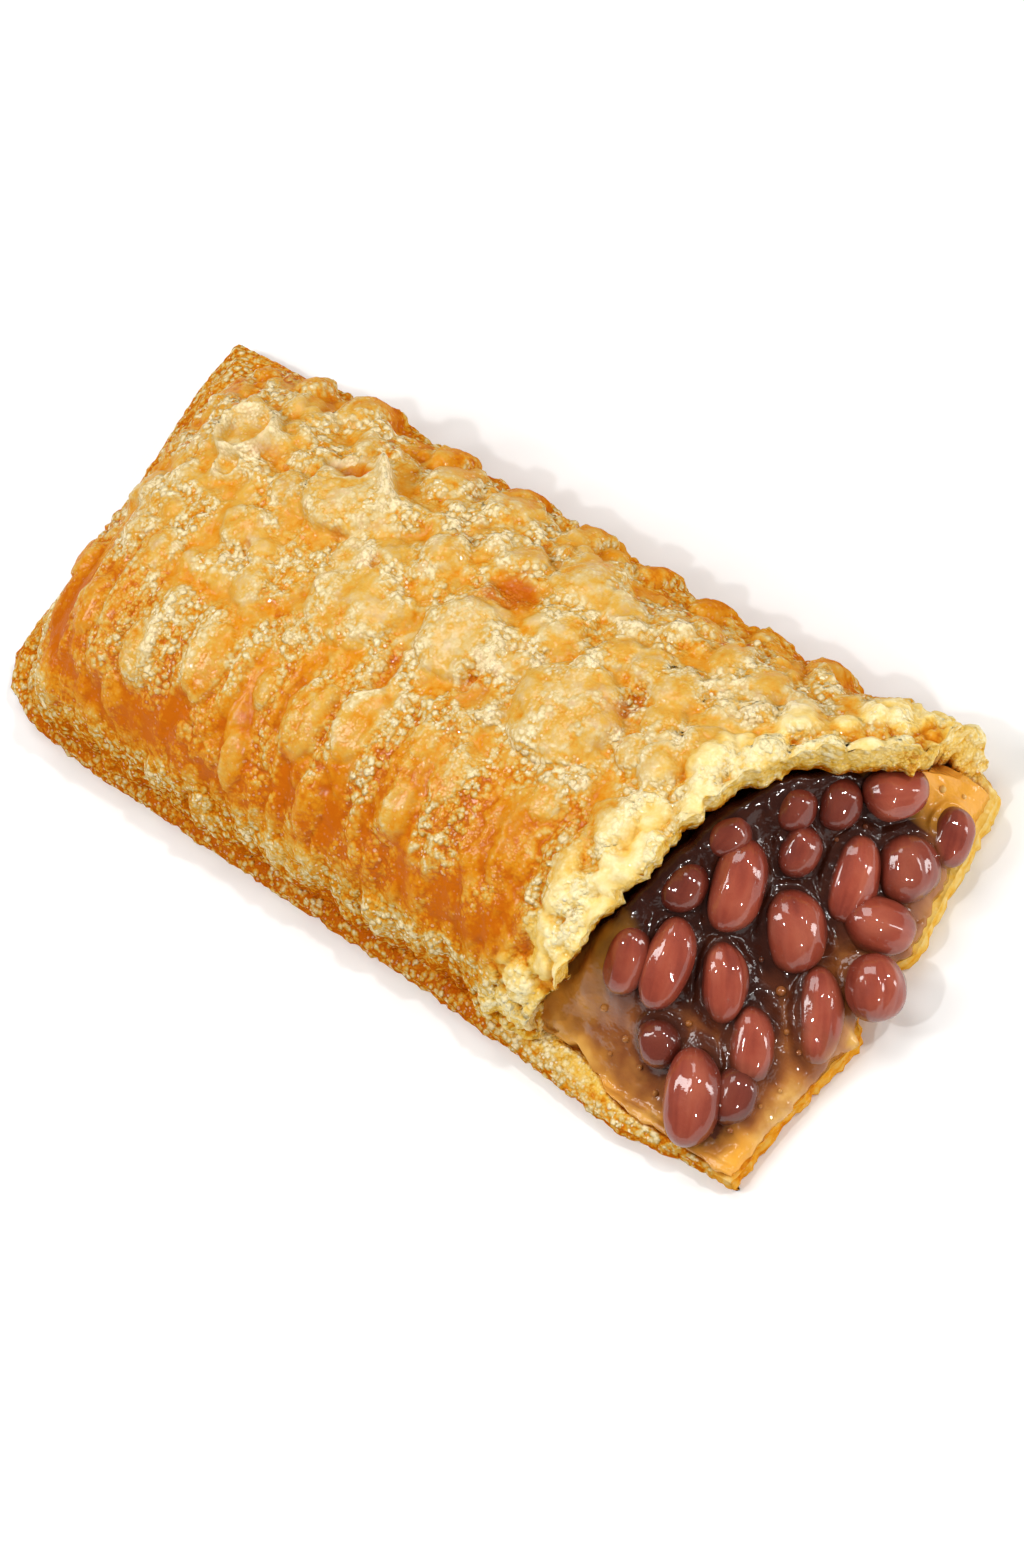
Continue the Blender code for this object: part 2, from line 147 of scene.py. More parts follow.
# Open holes and burnt hollows: x, y, half widths along and across, depth, toast, paler rim
HOLLOWS = (
    (-20.3, 13.4, 2.2, 1.1, 2.0, 0.45, 1.0), (-0.6, -3.6, 1.05, 2.9, 0.9, 0.30, 0.7),
    (8.4, 0.2, 0.7, 1.5, 0.9, 0.40, 0.5), (5.9, 10.5, 2.6, 1.9, 0.5, 0.75, 0),
    (-9.5, 5.5, 0.9, 0.8, 0.7, 0.55, 0), (25.5, 6.2, 1.2, 1.8, 0.6, 0.6, 0),
    (-24.0, 0, 0.6, 0.9, 0.5, 0.5, 0), (-15.6, 6.4, 1.2, 0.6, 0.4, 0.45, 0),
)

# The burst bubble's flap, a standing ridge: its two ends (x, y), half width and height
FLAP = ((-18.5, 16.2), (-13.4, 12.3), 0.62, 2.3)

# Beans: x, y, z, length, width, turn in the face (degrees), how dark (the skin's own dark red, and
# painted shade on the beans deep under the arch), wrinkling
BEANS = (
    (43.1, -3.1, 14.4, 9.8, 5.6, -14, 0.15, 0.5), (48.7, -3.0, 9.3, 8.8, 6.3, -40, 0.25, 0.3),
    (50.2, 4.7, 8.6, 9.6, 5.6, -18, 0.10, 0.3), (45.7, 3.4, 13.1, 5.6, 4.4, -12, 0.55, 0.2),
    (53.3, 9.1, 5.9, 7.3, 6.9, -36, 0.45, 1.0), (54.9, 14.4, 4.3, 6.4, 4.8, -22, 0.35, 0.4),
    (50.3, 13.7, 12.3, 7.0, 5.6, 54, 0.15, 0.3), (54.3, 2.5, 4.3, 7.8, 5.9, 72, 0.20, 0.3),
    (57.9, -3.1, 4.2, 6.9, 6.0, -38, 0.20, 0.9), (54.3, -8.4, 4.0, 10.0, 4.9, -32, 0.15, 0.3),
    (50.8, -15.0, 5.9, 9.1, 5.2, -24, 0.20, 0.3), (51.9, -19.8, 4.1, 6.4, 4.6, -10, 0.75, 0.2),
    (48.9, -22.4, 6.6, 10.1, 5.9, -22, 0.20, 0.3), (43.0, -19.5, 7.7, 5.6, 4.6, -18, 0.80, 0.2),
    (41.1, -13.3, 12.9, 9.8, 5.0, -10, 0.12, 0.5), (37.5, -15.2, 13.4, 7.8, 4.7, -2, 0.15, 0.3),
    (46.0, -11.4, 10.0, 8.4, 4.8, -30, 0.15, 0.9), (40.2, 0.2, 17.0, 5.2, 4.4, 14, 0.60, 0.2),
    (43.6, 6.5, 15.4, 5.2, 4.6, -20, 0.70, 0.2), (46.6, 9.6, 13.8, 5.6, 4.6, -24, 0.75, 0.2),
    (39.2, -6.4, 16.2, 5.6, 4.6, 0, 0.75, 0.2),
)

# Where the syrup stands higher over the low ends of the beans: x, y, height, width
POOLS = (
    (38.0, -18.4, 1.1, 2.4), (41.8, -17.2, 0.9, 2.2), (55.2, -9.0, 1.4, 3.4),
    (46.4, -15.6, 0.8, 2.0), (51.2, -17.8, 0.9, 2.2), (54.6, 11.8, 0.8, 2.4),
)


# ---- measures

def smooth(low, high, value):
    t = np.clip((np.asarray(value, float) - low) / (high - low), 0.0, 1.0)
    return t * t * (3 - 2 * t)


def half_at(x, side, inset=0.0):
    """Half the dome's width, on the side whose sign is given."""
    t = np.clip((x - DOME_X - inset) / CORNER, 0.0, 1.0)
    corner = CORNER_IN * (1 - np.sqrt(1 - (1 - t) ** 2))
    return np.where(side < 0, DOME_NEAR, np.interp(x, DOME_FAR_X, DOME_FAR_Y)) - inset - corner


def rise_at(x, start_x):
    s = np.clip((x - start_x) / DOME_RISE, 0.0, 1.0)
    return (1 - (1 - s) ** 2.3) ** (1 / 1.7)


def arch_height(x, y, inset):
    """Height of the dome's inner face, inset that far from its outer one."""
    half = half_at(x, y, inset)
    share = np.maximum(1 - np.minimum(np.abs(y) / half, 1.0) ** ARC_SIDE, 0.0) ** (1 / ARC_TOP)
    return FLOOR + (DOME_HIGH - inset - FLOOR) * rise_at(x, DOME_X + inset) * share


def mouth_end(y):
    mouth_x, mouth_y = zip(*MOUTH_EDGE)
    return np.interp(y, mouth_y, mouth_x)


def face_height(x, y):
    high = np.interp(y, FACE_Y, FACE_HIGH)
    x0 = np.interp(y, FACE_Y, FACE_X)
    s = np.clip((x - x0) / (FACE_END - x0), 0.0, 1.2)
    return high + (FACE_LOW - high) * s


def lumps(x, y, size, layer):
    """Soft noise over the drawing's plan, about -1 to 1, for whole arrays of points."""
    out = np.empty(len(x))
    for i, (a, b) in enumerate(zip(x / size, y / size)):
        out[i] = noise.noise(Vector((a, b, SEED + layer)))
    return out


def tear_line(y):
    return np.interp(y, TEAR_Y, TEAR_X)


def tear_x(y):
    """The torn edge, ragged at the scale of flakes and of crumbs."""
    ragged = 1.1 * lumps(y * 0 + 6.0, y, 4.3, 11) + 0.9 * lumps(y * 0 + 3.0, y, 1.9, 3)
    return tear_line(y) + ragged + 0.4 * lumps(y * 0 + 9.0, y, 0.9, 4)


def bubble_at(point, size):
    """Height, 0 to 1, of the bubble that a point lies on, among packed round bubbles."""
    away = noise.voronoi(Vector(point) / size, distance_metric="DISTANCE")[0][0]
    return math.sqrt(max(1 - (away / 0.68) ** 2, 0.0))


def crumb_at(point):
    """How far torn dough stands out at a point of the drawing: coarse crumb and fine."""
    return 1.35 * bubble_at(point, 3.4) + 0.5 * bubble_at(point, 1.3)


def arc_table():
    """Length in mm along the cross section, with its side and height there as shares."""
    phi = np.linspace(-math.pi / 2, math.pi / 2, TABLE_STEPS)
    side = np.sign(phi) * np.abs(np.sin(phi)) ** (2 / ARC_SIDE)
    high = np.maximum(np.cos(phi), 0.0) ** (2 / ARC_TOP)
    run = np.hypot(np.diff(side) * DOME_NEAR, np.diff(high) * (DOME_HIGH - DOME_LOW))
    length = np.concatenate([[0.0], np.cumsum(run)])
    return length, side, high


def rise_table():
    """Length in mm up the closed end's slope, with the distance along x there."""
    x = np.linspace(0.0, DOME_RISE, TABLE_STEPS)
    z = (DOME_HIGH - DOME_LOW) * rise_at(x, 0.0)
    length = np.concatenate([[0.0], np.cumsum(np.hypot(np.diff(x), np.diff(z)))])
    return length, x


ARC_LENGTH, ARC_SIDES, ARC_HIGHS = arc_table()
RISE_LENGTH, RISE_X = rise_table()
WHOLE_ARC, WHOLE_RISE = ARC_LENGTH[-1], RISE_LENGTH[-1]
# How far the torn edge's flakes and crumbs stand out, by y
EDGE_Y = np.linspace(-26.0, 26.0, 1041)
EDGE_OUT = tear_x(EDGE_Y) - tear_line(EDGE_Y)


def on_arc(v):
    """Side and height, as shares, at a point from -1 to 1 of the cross section's length."""
    at = (v + 1) / 2 * WHOLE_ARC
    return np.interp(at, ARC_LENGTH, ARC_SIDES), np.interp(at, ARC_LENGTH, ARC_HIGHS)


# ---- mesh tools

def grid_sheet(columns, rows):
    """A flat grid as a bmesh, with each vertex's u (0 to 1) and v (-1 to 1) as arrays."""
    bm = bmesh.new()
    bmesh.ops.create_grid(bm, x_segments=columns, y_segments=rows, size=1.0)
    u = np.array([(vert.co.x + 1) / 2 for vert in bm.verts])
    v = np.array([vert.co.y for vert in bm.verts])
    return bm, u, v


def put(bm, *columns):
    for vert, point in zip(bm.verts, zip(*columns)):
        vert.co = point


def paint(bm, name, values):
    layer = bm.verts.layers.float.new(name)
    for vert, value in zip(bm.verts, values):
        vert[layer] = float(value)


def border_of(bm):
    return [edge for edge in bm.edges if edge.is_boundary]


def draw_out(bm, edges):
    """Extrudes edges where they are, and gives the new vertices and edges."""
    made = bmesh.ops.extrude_edge_only(bm, edges=edges)["geom"]
    kinds = (bmesh.types.BMVert, bmesh.types.BMEdge)
    return [[item for item in made if isinstance(item, kind)] for kind in kinds]


def close_below(bm, floor, back=0.0, from_x=1e9):
    """Draws the open border down to floor, leaning back where x is past from_x, and fills it."""
    verts, _ = draw_out(bm, border_of(bm))
    for vert in verts:
        if vert.co.x > from_x:
            vert.co.x -= back * (vert.co.z - floor)
        vert.co.z = floor
    bmesh.ops.contextual_create(bm, geom=border_of(bm))


def new_object(name, bm, material):
    mesh = bpy.data.meshes.new(name)
    bm.to_mesh(mesh)
    bm.free()
    if material:
        mesh.materials.append(material)
    made = bpy.data.objects.new(name, mesh)
    bpy.context.scene.collection.objects.link(made)
    return made


def keep(name, bm, material, merge=1e-4):
    """Turns a bmesh in the drawing's millimetres into an object in the frame."""
    if merge:
        bmesh.ops.remove_doubles(bm, verts=bm.verts, dist=merge)
    bmesh.ops.recalc_face_normals(bm, faces=bm.faces)
    for face in bm.faces:
        face.smooth = True
    bmesh.ops.translate(bm, verts=bm.verts, vec=-SHIFT)
    bmesh.ops.scale(bm, verts=bm.verts, vec=(MM, MM, MM))
    return new_object(name, bm, material)


def normals_of(place, u, v, step=1e-3):
    du = place(np.clip(u + step, 0, 1), v) - place(np.clip(u - step, 0, 1), v)
    dv = place(u, np.clip(v + step, -1, 1)) - place(u, np.clip(v - step, -1, 1))
    normal = np.cross(du, dv)
    return normal / (np.linalg.norm(normal, axis=1)[:, None] + 1e-12)


def bubble_layer(a, b, spacing, radius, share, seed):
    """Caps of packed bubbles over a plan of points: height 0 to 1, and that cap's random tone."""
    rng = np.random.default_rng(seed)
    low_a, low_b = a.min() - spacing, b.min() - spacing
    count_a = int((a.max() - low_a) / spacing) + 2
    count_b = int((b.max() - low_b) / spacing) + 2
    ga, gb = np.meshgrid(np.arange(count_a), np.arange(count_b), indexing="ij")
    ca = low_a + (ga.ravel() + rng.uniform(0.05, 0.95, ga.size)) * spacing
    cb = low_b + (gb.ravel() + rng.uniform(0.05, 0.95, ga.size)) * spacing
    kept = rng.random(ga.size) < share
    ca, cb = ca[kept], cb[kept]
    size = rng.uniform(*radius, len(ca))
    tone = rng.random(len(ca))
    tree = kdtree.KDTree(len(ca))
    for i, (x, y) in enumerate(zip(ca, cb)):
        tree.insert((x, y, 0.0), i)
    tree.balance()
    cap, shade = np.zeros(len(a)), np.zeros(len(a))
    for i, (x, y) in enumerate(zip(a, b)):
        for _, index, away in tree.find_n((x, y, 0.0), 3):
            share_out = away / size[index]
            if share_out < 1:
                height = math.sqrt(1 - share_out * share_out) * size[index] / radius[1]
                if height > cap[i]:
                    cap[i], shade[i] = height, tone[index]
    return cap, shade


# ---- materials

def material_of(name):
    material = bpy.data.materials.new(name)
    material.use_nodes = True
    return material, material.node_tree, material.node_tree.nodes["Principled BSDF"]


def add(tree, kind, **settings):
    """A new node; settings that start with in_ are its inputs."""
    made = tree.nodes.new(kind)
    for key, value in settings.items():
        if key.startswith("in_"):
            made.inputs[key[3:]].default_value = value
        else:
            setattr(made, key, value)
    return made


def wire(tree, start, end):
    tree.links.new(start, end)


def attribute(tree, name):
    return add(tree, "ShaderNodeAttribute", attribute_name=name).outputs["Fac"]


def ramp(tree, source, stops):
    made = add(tree, "ShaderNodeValToRGB")
    while len(made.color_ramp.elements) < len(stops):
        made.color_ramp.elements.new(0.5)
    for element, (at, color) in zip(made.color_ramp.elements, stops):
        element.position = at
        element.color = (*color, 1.0)
    wire(tree, source, made.inputs["Fac"])
    return made.outputs["Color"]


def feed(tree, value, socket):
    """Gives an input a socket, a colour of three numbers or a number."""
    if isinstance(value, bpy.types.NodeSocket):
        wire(tree, value, socket)
    elif isinstance(value, tuple):
        socket.default_value = (*value, 1.0)
    else:
        socket.default_value = value


def blend_color(tree, amount, first, second):
    """Mixes two colours."""
    made = add(tree, "ShaderNodeMix", data_type="RGBA")
    for value, index in ((amount, 0), (first, 6), (second, 7)):
        feed(tree, value, made.inputs[index])
    return made.outputs[2]


def sums(operation):
    """A function that adds one kind of sum to a tree and gives its result."""
    def added(tree, first, second, clamp=False):
        made = add(tree, "ShaderNodeMath", operation=operation, use_clamp=clamp)
        feed(tree, first, made.inputs[0])
        feed(tree, second, made.inputs[1])
        return made.outputs[0]

    return added


plus, minus, times = sums("ADD"), sums("SUBTRACT"), sums("MULTIPLY")
over, larger, exceeds = sums("DIVIDE"), sums("MAXIMUM"), sums("GREATER_THAN")


def texture(tree, kind, where, **settings):
    made = add(tree, kind, **settings)
    wire(tree, where, made.inputs["Vector"])
    return made.outputs


def bump(tree, height, strength, distance, shader, *names):
    """Bumps the shader's named normals by a height."""
    made = add(tree, "ShaderNodeBump", in_Strength=strength, in_Distance=distance)
    wire(tree, height, made.inputs["Height"])
    for name in names:
        wire(tree, made.outputs["Normal"], shader.inputs[name])


def set_inputs(shader, **values):
    """Sets inputs by name, with _ for a space."""
    for name, value in values.items():
        shader.inputs[name.replace("_", " ")].default_value = value


def fry_grain():
    """The beads of fried dough: height for bump, share of beads, dots of painted glint (raised a
    little in the bump too) and oil flecks.
    """
    group = bpy.data.node_groups.new("fry_grain", "ShaderNodeTree")
    group.interface.new_socket("Calm", in_out="INPUT", socket_type="NodeSocketFloat")
    for name in ("Height", "Bead", "PaintedGlint", "Fleck"):
        group.interface.new_socket(name, in_out="OUTPUT", socket_type="NodeSocketFloat")
    calm, out = add(group, "NodeGroupInput").outputs["Calm"], add(group, "NodeGroupOutput")
    where = add(group, "ShaderNodeTexCoord").outputs["Object"]
    domes = []
    for scale in (1200.0, 2500.0):
        cells = texture(group, "ShaderNodeTexVoronoi", where, in_Scale=scale, in_Randomness=0.95)
        away = over(group, cells["Distance"], 0.60)
        domes.append(minus(group, 1.0, times(group, away, away), clamp=True))
    patches = texture(group, "ShaderNodeTexNoise", where, in_Scale=240.0, in_Detail=2.0)["Fac"]
    bare = plus(group, times(group, calm, 0.16), 0.24)
    rough = times(group, minus(group, patches, bare), 3.4, clamp=True)
    lively = minus(group, 1.0, times(group, calm, 0.85))
    rough, fine = times(group, rough, lively), times(group, domes[1], lively)
    # Near-white dots of painted glint, fewer where the surface is calm
    painted_glint_specks = []
    for scale, size in ((1150.0, 0.26), (2000.0, 0.34)):
        cells = texture(group, "ShaderNodeTexVoronoi", where, in_Scale=scale, in_Randomness=1.0)
        dot = minus(group, 1.0, over(group, cells["Distance"], size), clamp=True)
        tone = add(group, "ShaderNodeSeparateColor")
        wire(group, cells["Color"], tone.inputs[0])
        kept = exceeds(group, tone.outputs[0], 0.68)
        painted_glint_specks.append(times(group, times(group, dot, 3.5, clamp=True), kept))
    painted_glint_speck = larger(group, *painted_glint_specks)
    painted_glint_speck = times(group, painted_glint_speck, plus(group, times(group, rough, 0.92), 0.08))
    beads = plus(group, times(group, domes[0], rough), times(group, fine, 0.40))
    flecks = texture(
        group, "ShaderNodeTexNoise", where, in_Scale=700.0, in_Detail=3.5, in_Roughness=0.65,
    )["Fac"]
    # The painted glint dots are also raised a little in the bump
    wire(group, plus(group, beads, times(group, painted_glint_speck, 0.25)), out.inputs["Height"])
    for name, value in (("Bead", beads), ("PaintedGlint", painted_glint_speck), ("Fleck", flecks)):
        wire(group, value, out.inputs[name])
    return group


def crust_material(name, grain, depth, toast_add=0.0):
    """Fried dough: amber in the valleys, straw on the caps, red-brown where it is toasted, and
    painted glints.
    """
    material, tree, shader = material_of(name)
    cap, toast, torn, calm, oily = (attribute(tree, key) for key in CRUST_LOOKS)
    fine = add(tree, "ShaderNodeGroup", node_tree=grain)
    wire(tree, calm, fine.inputs["Calm"])
    fleck = minus(tree, fine.outputs["Fleck"], 0.5)
    bead = minus(tree, fine.outputs["Bead"], 0.32)
    flecked = times(tree, fleck, minus(tree, 1.65, times(tree, calm, 0.9)))
    tone = plus(tree, plus(tree, cap, flecked), times(tree, bead, 0.72), clamp=True)
    fried = ramp(tree, tone, (
        (0.0, (0.54, 0.125, 0.003)), (0.20, (0.67, 0.245, 0.008)), (0.45, (0.68, 0.385, 0.062)),
        (0.70, (0.69, 0.530, 0.245)), (1.0, (0.93, 0.75, 0.43)),
    ))
    browned = plus(tree, toast, times(tree, fleck, 1.25))
    browned = minus(tree, browned, times(tree, bead, 0.75))
    browned = plus(tree, browned, toast_add - 0.22, clamp=True)
    color = blend_color(tree, browned, fried, (0.47, 0.085, 0.002))
    pale = ramp(tree, tone, (
        (0.0, (0.62, 0.26, 0.006)), (0.25, (0.82, 0.50, 0.07)),
        (0.55, (0.86, 0.61, 0.18)), (1.0, (0.95, 0.81, 0.45)),
    ))
    paler = plus(tree, torn, times(tree, fleck, 0.9))
    color = blend_color(tree, times(tree, paler, torn, clamp=True), color, pale)
    # Painted glint: near-white dots, brightest on the pale caps
    painted_glint_share = plus(tree, times(tree, cap, 1.1), 0.30, clamp=True)
    painted_glint = times(tree, fine.outputs["PaintedGlint"], painted_glint_share)
    color = blend_color(tree, painted_glint, color, (1.0, 0.88, 0.60))
    wire(tree, color, shader.inputs["Base Color"])
    roughness = ramp(tree, fine.outputs["Fleck"], ((0.35, (0.34,) * 3), (0.65, (0.62,) * 3)))
    wire(tree, roughness, shader.inputs["Roughness"])
    bump(tree, fine.outputs["Height"], 1.0, depth, shader, "Normal", "Coat Normal")
    wire(tree, oily, shader.inputs["Coat Weight"])
    set_inputs(shader, Specular_IOR_Level=0.0, Coat_Roughness=0.055, Coat_IOR=1.6)
    return material


def sauce_material():
    """Bean syrup: caramel where it lies thin, nearly black where it is deep, darker still in
    painted shade by the torn wall and the beans.
    """
    material, tree, shader = material_of("bean_syrup")
    amber, deep = attribute(tree, "amber"), attribute(tree, "deep")
    color = syrup_color(tree, deep)
    color = blend_color(tree, times(tree, amber, 0.85), color, (0.84, 0.37, 0.035))
    wire(tree, color, shader.inputs["Base Color"])
    where = add(tree, "ShaderNodeTexCoord").outputs["Object"]
    fine = texture(tree, "ShaderNodeTexNoise", where, in_Scale=900.0, in_Detail=2.0)["Fac"]
    bump(tree, fine, 0.5, 0.0003, shader, "Normal", "Coat Normal")
    dull = plus(tree, times(tree, amber, 0.50), times(tree, deep, 0.30))
    wire(tree, minus(tree, 1.0, dull, clamp=True), shader.inputs["Coat Weight"])
    set_inputs(shader, Roughness=0.25, Specular_IOR_Level=0.1, Coat_Roughness=0.03, Coat_IOR=1.42)
    return material


def mottle(tree, cloud, amount):
    return times(tree, minus(tree, cloud, 0.5), amount)


def syrup_color(tree, deep):
    """Syrup's colour by depth, mottled a little."""
    where = add(tree, "ShaderNodeTexCoord").outputs["Object"]
    cloud = texture(tree, "ShaderNodeTexNoise", where, in_Scale=420.0, in_Detail=3.0)["Fac"]
    return ramp(tree, plus(tree, deep, mottle(tree, cloud, 0.35), clamp=True), (
        (0.0, (0.76, 0.44, 0.115)), (0.20, (0.46, 0.185, 0.040)), (0.42, (0.27, 0.082, 0.020)),
        (0.70, (0.095, 0.023, 0.009)), (1.0, (0.036, 0.008, 0.004)),
    ))


def bean_material():
    """Cooked red bean skins, glazed with syrup and drowned in it towards the bottom."""
    material, tree, shader = material_of("red_bean_skin")
    dark, skin, wet, deep = (attribute(tree, key) for key in BEAN_LOOKS)
    where = add(tree, "ShaderNodeTexCoord").outputs["Object"]
    cloud = texture(
        tree, "ShaderNodeTexNoise", where, in_Scale=700.0, in_Detail=4.0, in_Roughness=0.6,
    )["Fac"]
    color = ramp(tree, plus(tree, skin, mottle(tree, cloud, 0.6), clamp=True), (
        (0.0, (0.22, 0.030, 0.016)), (0.5, (0.36, 0.064, 0.033)), (1.0, (0.45, 0.105, 0.055)),
    ))
    # Towards near-black by the dark share: dark skins, with painted shade under the arch and on
    # each bean's underside
    color = blend_color(tree, dark, color, (0.115, 0.018, 0.010))
    color = blend_color(tree, wet, color, syrup_color(tree, deep))
    wire(tree, color, shader.inputs["Base Color"])
    bump(tree, cloud, 0.35, 0.0003, shader, "Normal")
    bump(tree, cloud, 0.12, 0.0003, shader, "Coat Normal")
    set_inputs(
        shader, Roughness=0.45, Specular_IOR_Level=0.1,
        Coat_Weight=1.0, Coat_Roughness=0.03, Coat_IOR=1.55,
    )
    return material


# ---- top crust

def dome_place(u, v):
    """Points of the bare dome, evenly spaced by length both ways."""
    side, high = on_arc(v)
    edge = tear_line(side * DOME_NEAR) + np.interp(side * DOME_NEAR, EDGE_Y, EDGE_OUT)
    run = u * (WHOLE_RISE + edge - DOME_X - DOME_RISE)
    rising = np.interp(run, RISE_LENGTH, RISE_X)
    x = DOME_X + np.where(run < WHOLE_RISE, rising, DOME_RISE + run - WHOLE_RISE)
    z = DOME_LOW + (DOME_HIGH - DOME_LOW) * rise_at(x, DOME_X) * high
    return np.stack([x, side * half_at(x, side), z], axis=1)


def blisters(x, y):
    """The placed blisters: their height, their pale rings (partly painted rim highlight) and their
    caps.
    """
    height, rings, caps = (np.zeros(len(x)) for _ in range(3))
    for bx, by, wide, deep, high, sunk, tint in BLISTERS:
        wobble = 1 + 0.14 * lumps(x - bx, y - by, 0.5 * wide, 30)
        d = np.hypot((x - bx) / wide, (y - by) / deep) * wobble
        dome = np.sqrt(np.maximum(1 - d * d, 0.0)) * (1 - sunk * np.exp(-3.0 * d * d))
        ring = np.exp(-((d - 0.84) / 0.13) ** 2) + 0.15 * np.maximum(1 - d * d, 0.0)
        fallen = sunk > 0.5
        height = np.maximum(height, 1.3 * high * (ring if fallen else dome))
        # Pale rings round the blisters: partly the rims' own paleness, partly painted rim highlight
        rings = np.maximum(rings, np.exp(-((d - 0.86) / 0.14) ** 2) * (1.0 if fallen else 0.35))
        caps = np.maximum(caps, smooth(1.12, 0.40, d) * (1 - tint))
    return height, rings, caps


def hollows(x, y):
    """The placed holes and hollows: their depth, their toast, and the rings and caps round them."""
    holes, burnt, rings, caps = (np.zeros(len(x)) for _ in range(4))
    for hx, hy, wide, deep, depth, toast, rim in HOLLOWS:
        wobble = 1 + 0.45 * lumps(x - hx, y - hy, 1.3, 31)
        d = np.hypot((x - hx) / wide, (y - hy) / deep) * wobble
        holes = np.maximum(holes, depth * np.exp(-d ** 4))
        burnt = np.maximum(burnt, toast * np.exp(-(d / 1.1) ** 4))
        rings = np.maximum(rings, rim * np.exp(-((d - 1.35) / 0.22) ** 2))
        caps = np.maximum(caps, rim * smooth(1.6, 1.3, d))
    return holes, burnt, rings, caps


def standing_flap(x, y):
    """The burst bubble's flap: 0 away from it, 1 on the middle of its crest."""
    (ax, ay), (bx, by), thick, _ = FLAP
    run_x, run_y = bx - ax, by - ay
    t = np.clip(((x - ax) * run_x + (y - ay) * run_y) / (run_x ** 2 + run_y ** 2), 0.0, 1.0)
    away = np.hypot(x - ax - t * run_x, y - ay - t * run_y) / thick
    return np.exp(-away ** 2) * (0.35 + 0.65 * np.sin(math.pi * t))


def fried_relief(points, a, b):
    """How far the fried surface stands out, and its looks by name."""
    x, y, z = points.T
    near, far = smooth(-5.0, -15.0, y), smooth(8.0, 17.0, y)
    closed = smooth(-41.0, -46.0, x)
    lip = smooth(12.0, 1.5, tear_line(y) - x)
    # The near slope's bubbles and furrows are drawn out down the slope
    stretched = b * (1 - 0.48 * near)
    broad = 0.50 * lumps(x, stretched, 5.2, 0)
    furrow = lumps(x / 1.9, b / 8.5, 1.0, 2) * (0.6 + 0.8 * np.abs(lumps(x, b, 7.0, 18)))
    plump, tone_p = bubble_layer(a, stretched, 4.2, (1.5, 2.9), 0.6, 4)
    medium, tone_m = bubble_layer(a, stretched, 2.5, (0.8, 1.7), 0.55, 5)
    small, tone_s = bubble_layer(a, stretched, 1.25, (0.45, 0.95), 0.85, 6)
    micro, _ = bubble_layer(a, stretched, 0.72, (0.34, 0.56), 0.95, 7)
    large, rings, caps = blisters(x, y)
    holes, burnt, hole_rings, hole_caps = hollows(x, y)
    flap = standing_flap(x, y)
    large = large + FLAP[-1] * flap
    # The flap's crest is painted bright: painted highlight, carried with the rings into the cap
    # share
    rings = np.maximum(np.maximum(rings, hole_rings), 2.2 * flap)
    caps = np.maximum(caps, hole_caps)
    # Froth: patches of fine bubbles, everywhere low on the near slope and the closed end
    froth = smooth(-0.40, 0.30, lumps(x, stretched, 3.4, 19)) * (1 - 0.75 * caps)
    froth = froth * (1 - 0.55 * near * smooth(20.0, 17.0, z) * smooth(9.0, 12.0, z))
    froth = np.maximum(froth, np.maximum(near, closed) * smooth(15.0, 10.0, z))
    rough = np.zeros(len(x))
    for i in np.flatnonzero(lip > 0.02):
        rough[i] = crumb_at(points[i])

    out = broad + near * 0.60 * furrow
    out = out + large - holes + (0.75 * plump + (0.55 + 0.25 * far) * medium) * (1 - 0.8 * caps)
    out = out + (0.07 + 0.28 * froth) * small + (0.04 + 0.17 * froth) * micro
    out = out + lip * rough

    cap = (
        0.07 + 0.15 * caps + 0.36 * rings - 0.35 * np.minimum(holes, 1.0)
        + 0.22 * plump * (0.4 + 0.6 * tone_p) * (1 - caps) + 0.24 * medium * (0.4 + 0.6 * tone_m)
        + (0.10 + 0.16 * froth) * small * tone_s + 0.08 * micro + 0.10 * lumps(x, y, 8.0, 13)
        + 0.36 * smooth(10.0, 20.0, z) + 0.12 * closed * smooth(16.0, 8.0, z)
    )
    # Along the near slope: paler half way up, darker in the furrows, at the foot and under the top
    cap = cap + near * (
        0.06 * caps - 0.16 * smooth(0.25, -0.4, furrow) + 0.05 * smooth(9.0, 5.0, z)
        + 0.24 * smooth(17.0, 12.0, z) * smooth(5.0, 9.0, z) - 0.24 * smooth(9.5, 5.5, z)
    )
    cap = cap - 0.21 * smooth(-2.0, -12.0, y) * smooth(11.0, 15.0, z) * (1 - lip) * (1 - 0.5 * caps)

    valleys = 0.36 * smooth(-0.08, -0.42, furrow + 0.4 * broad)
    valleys = valleys + 0.42 * smooth(-0.30, -0.52, furrow)
    toast = near * smooth(13.5, 6.0, z) * valleys * (1 - 0.6 * medium) * (1 - 0.6 * small)
    toast = toast + 0.22 * near * smooth(10.0, 5.0, z) + burnt
    toast = toast + 0.26 * smooth(0.15, 0.6, lumps(x, y, 6.5, 8)) * (1 - caps)
    toast = toast * (1 - 0.85 * lip) * (1 - 0.5 * closed)
    looks = {
        "cap": cap + 0.5 * lip * (rough - 0.6),
        "toast": toast,
        "torn": smooth(0.05, 0.8, lip) * (0.25 + 0.85 * np.clip(rough, 0, 1)),
        "calm": 1 - froth,
        "oily": 0.20 + 0.20 * caps + 0.32 * froth - 0.15 * toast,
    }
    return out, {key: np.clip(values, 0, 1) for key, values in looks.items()}


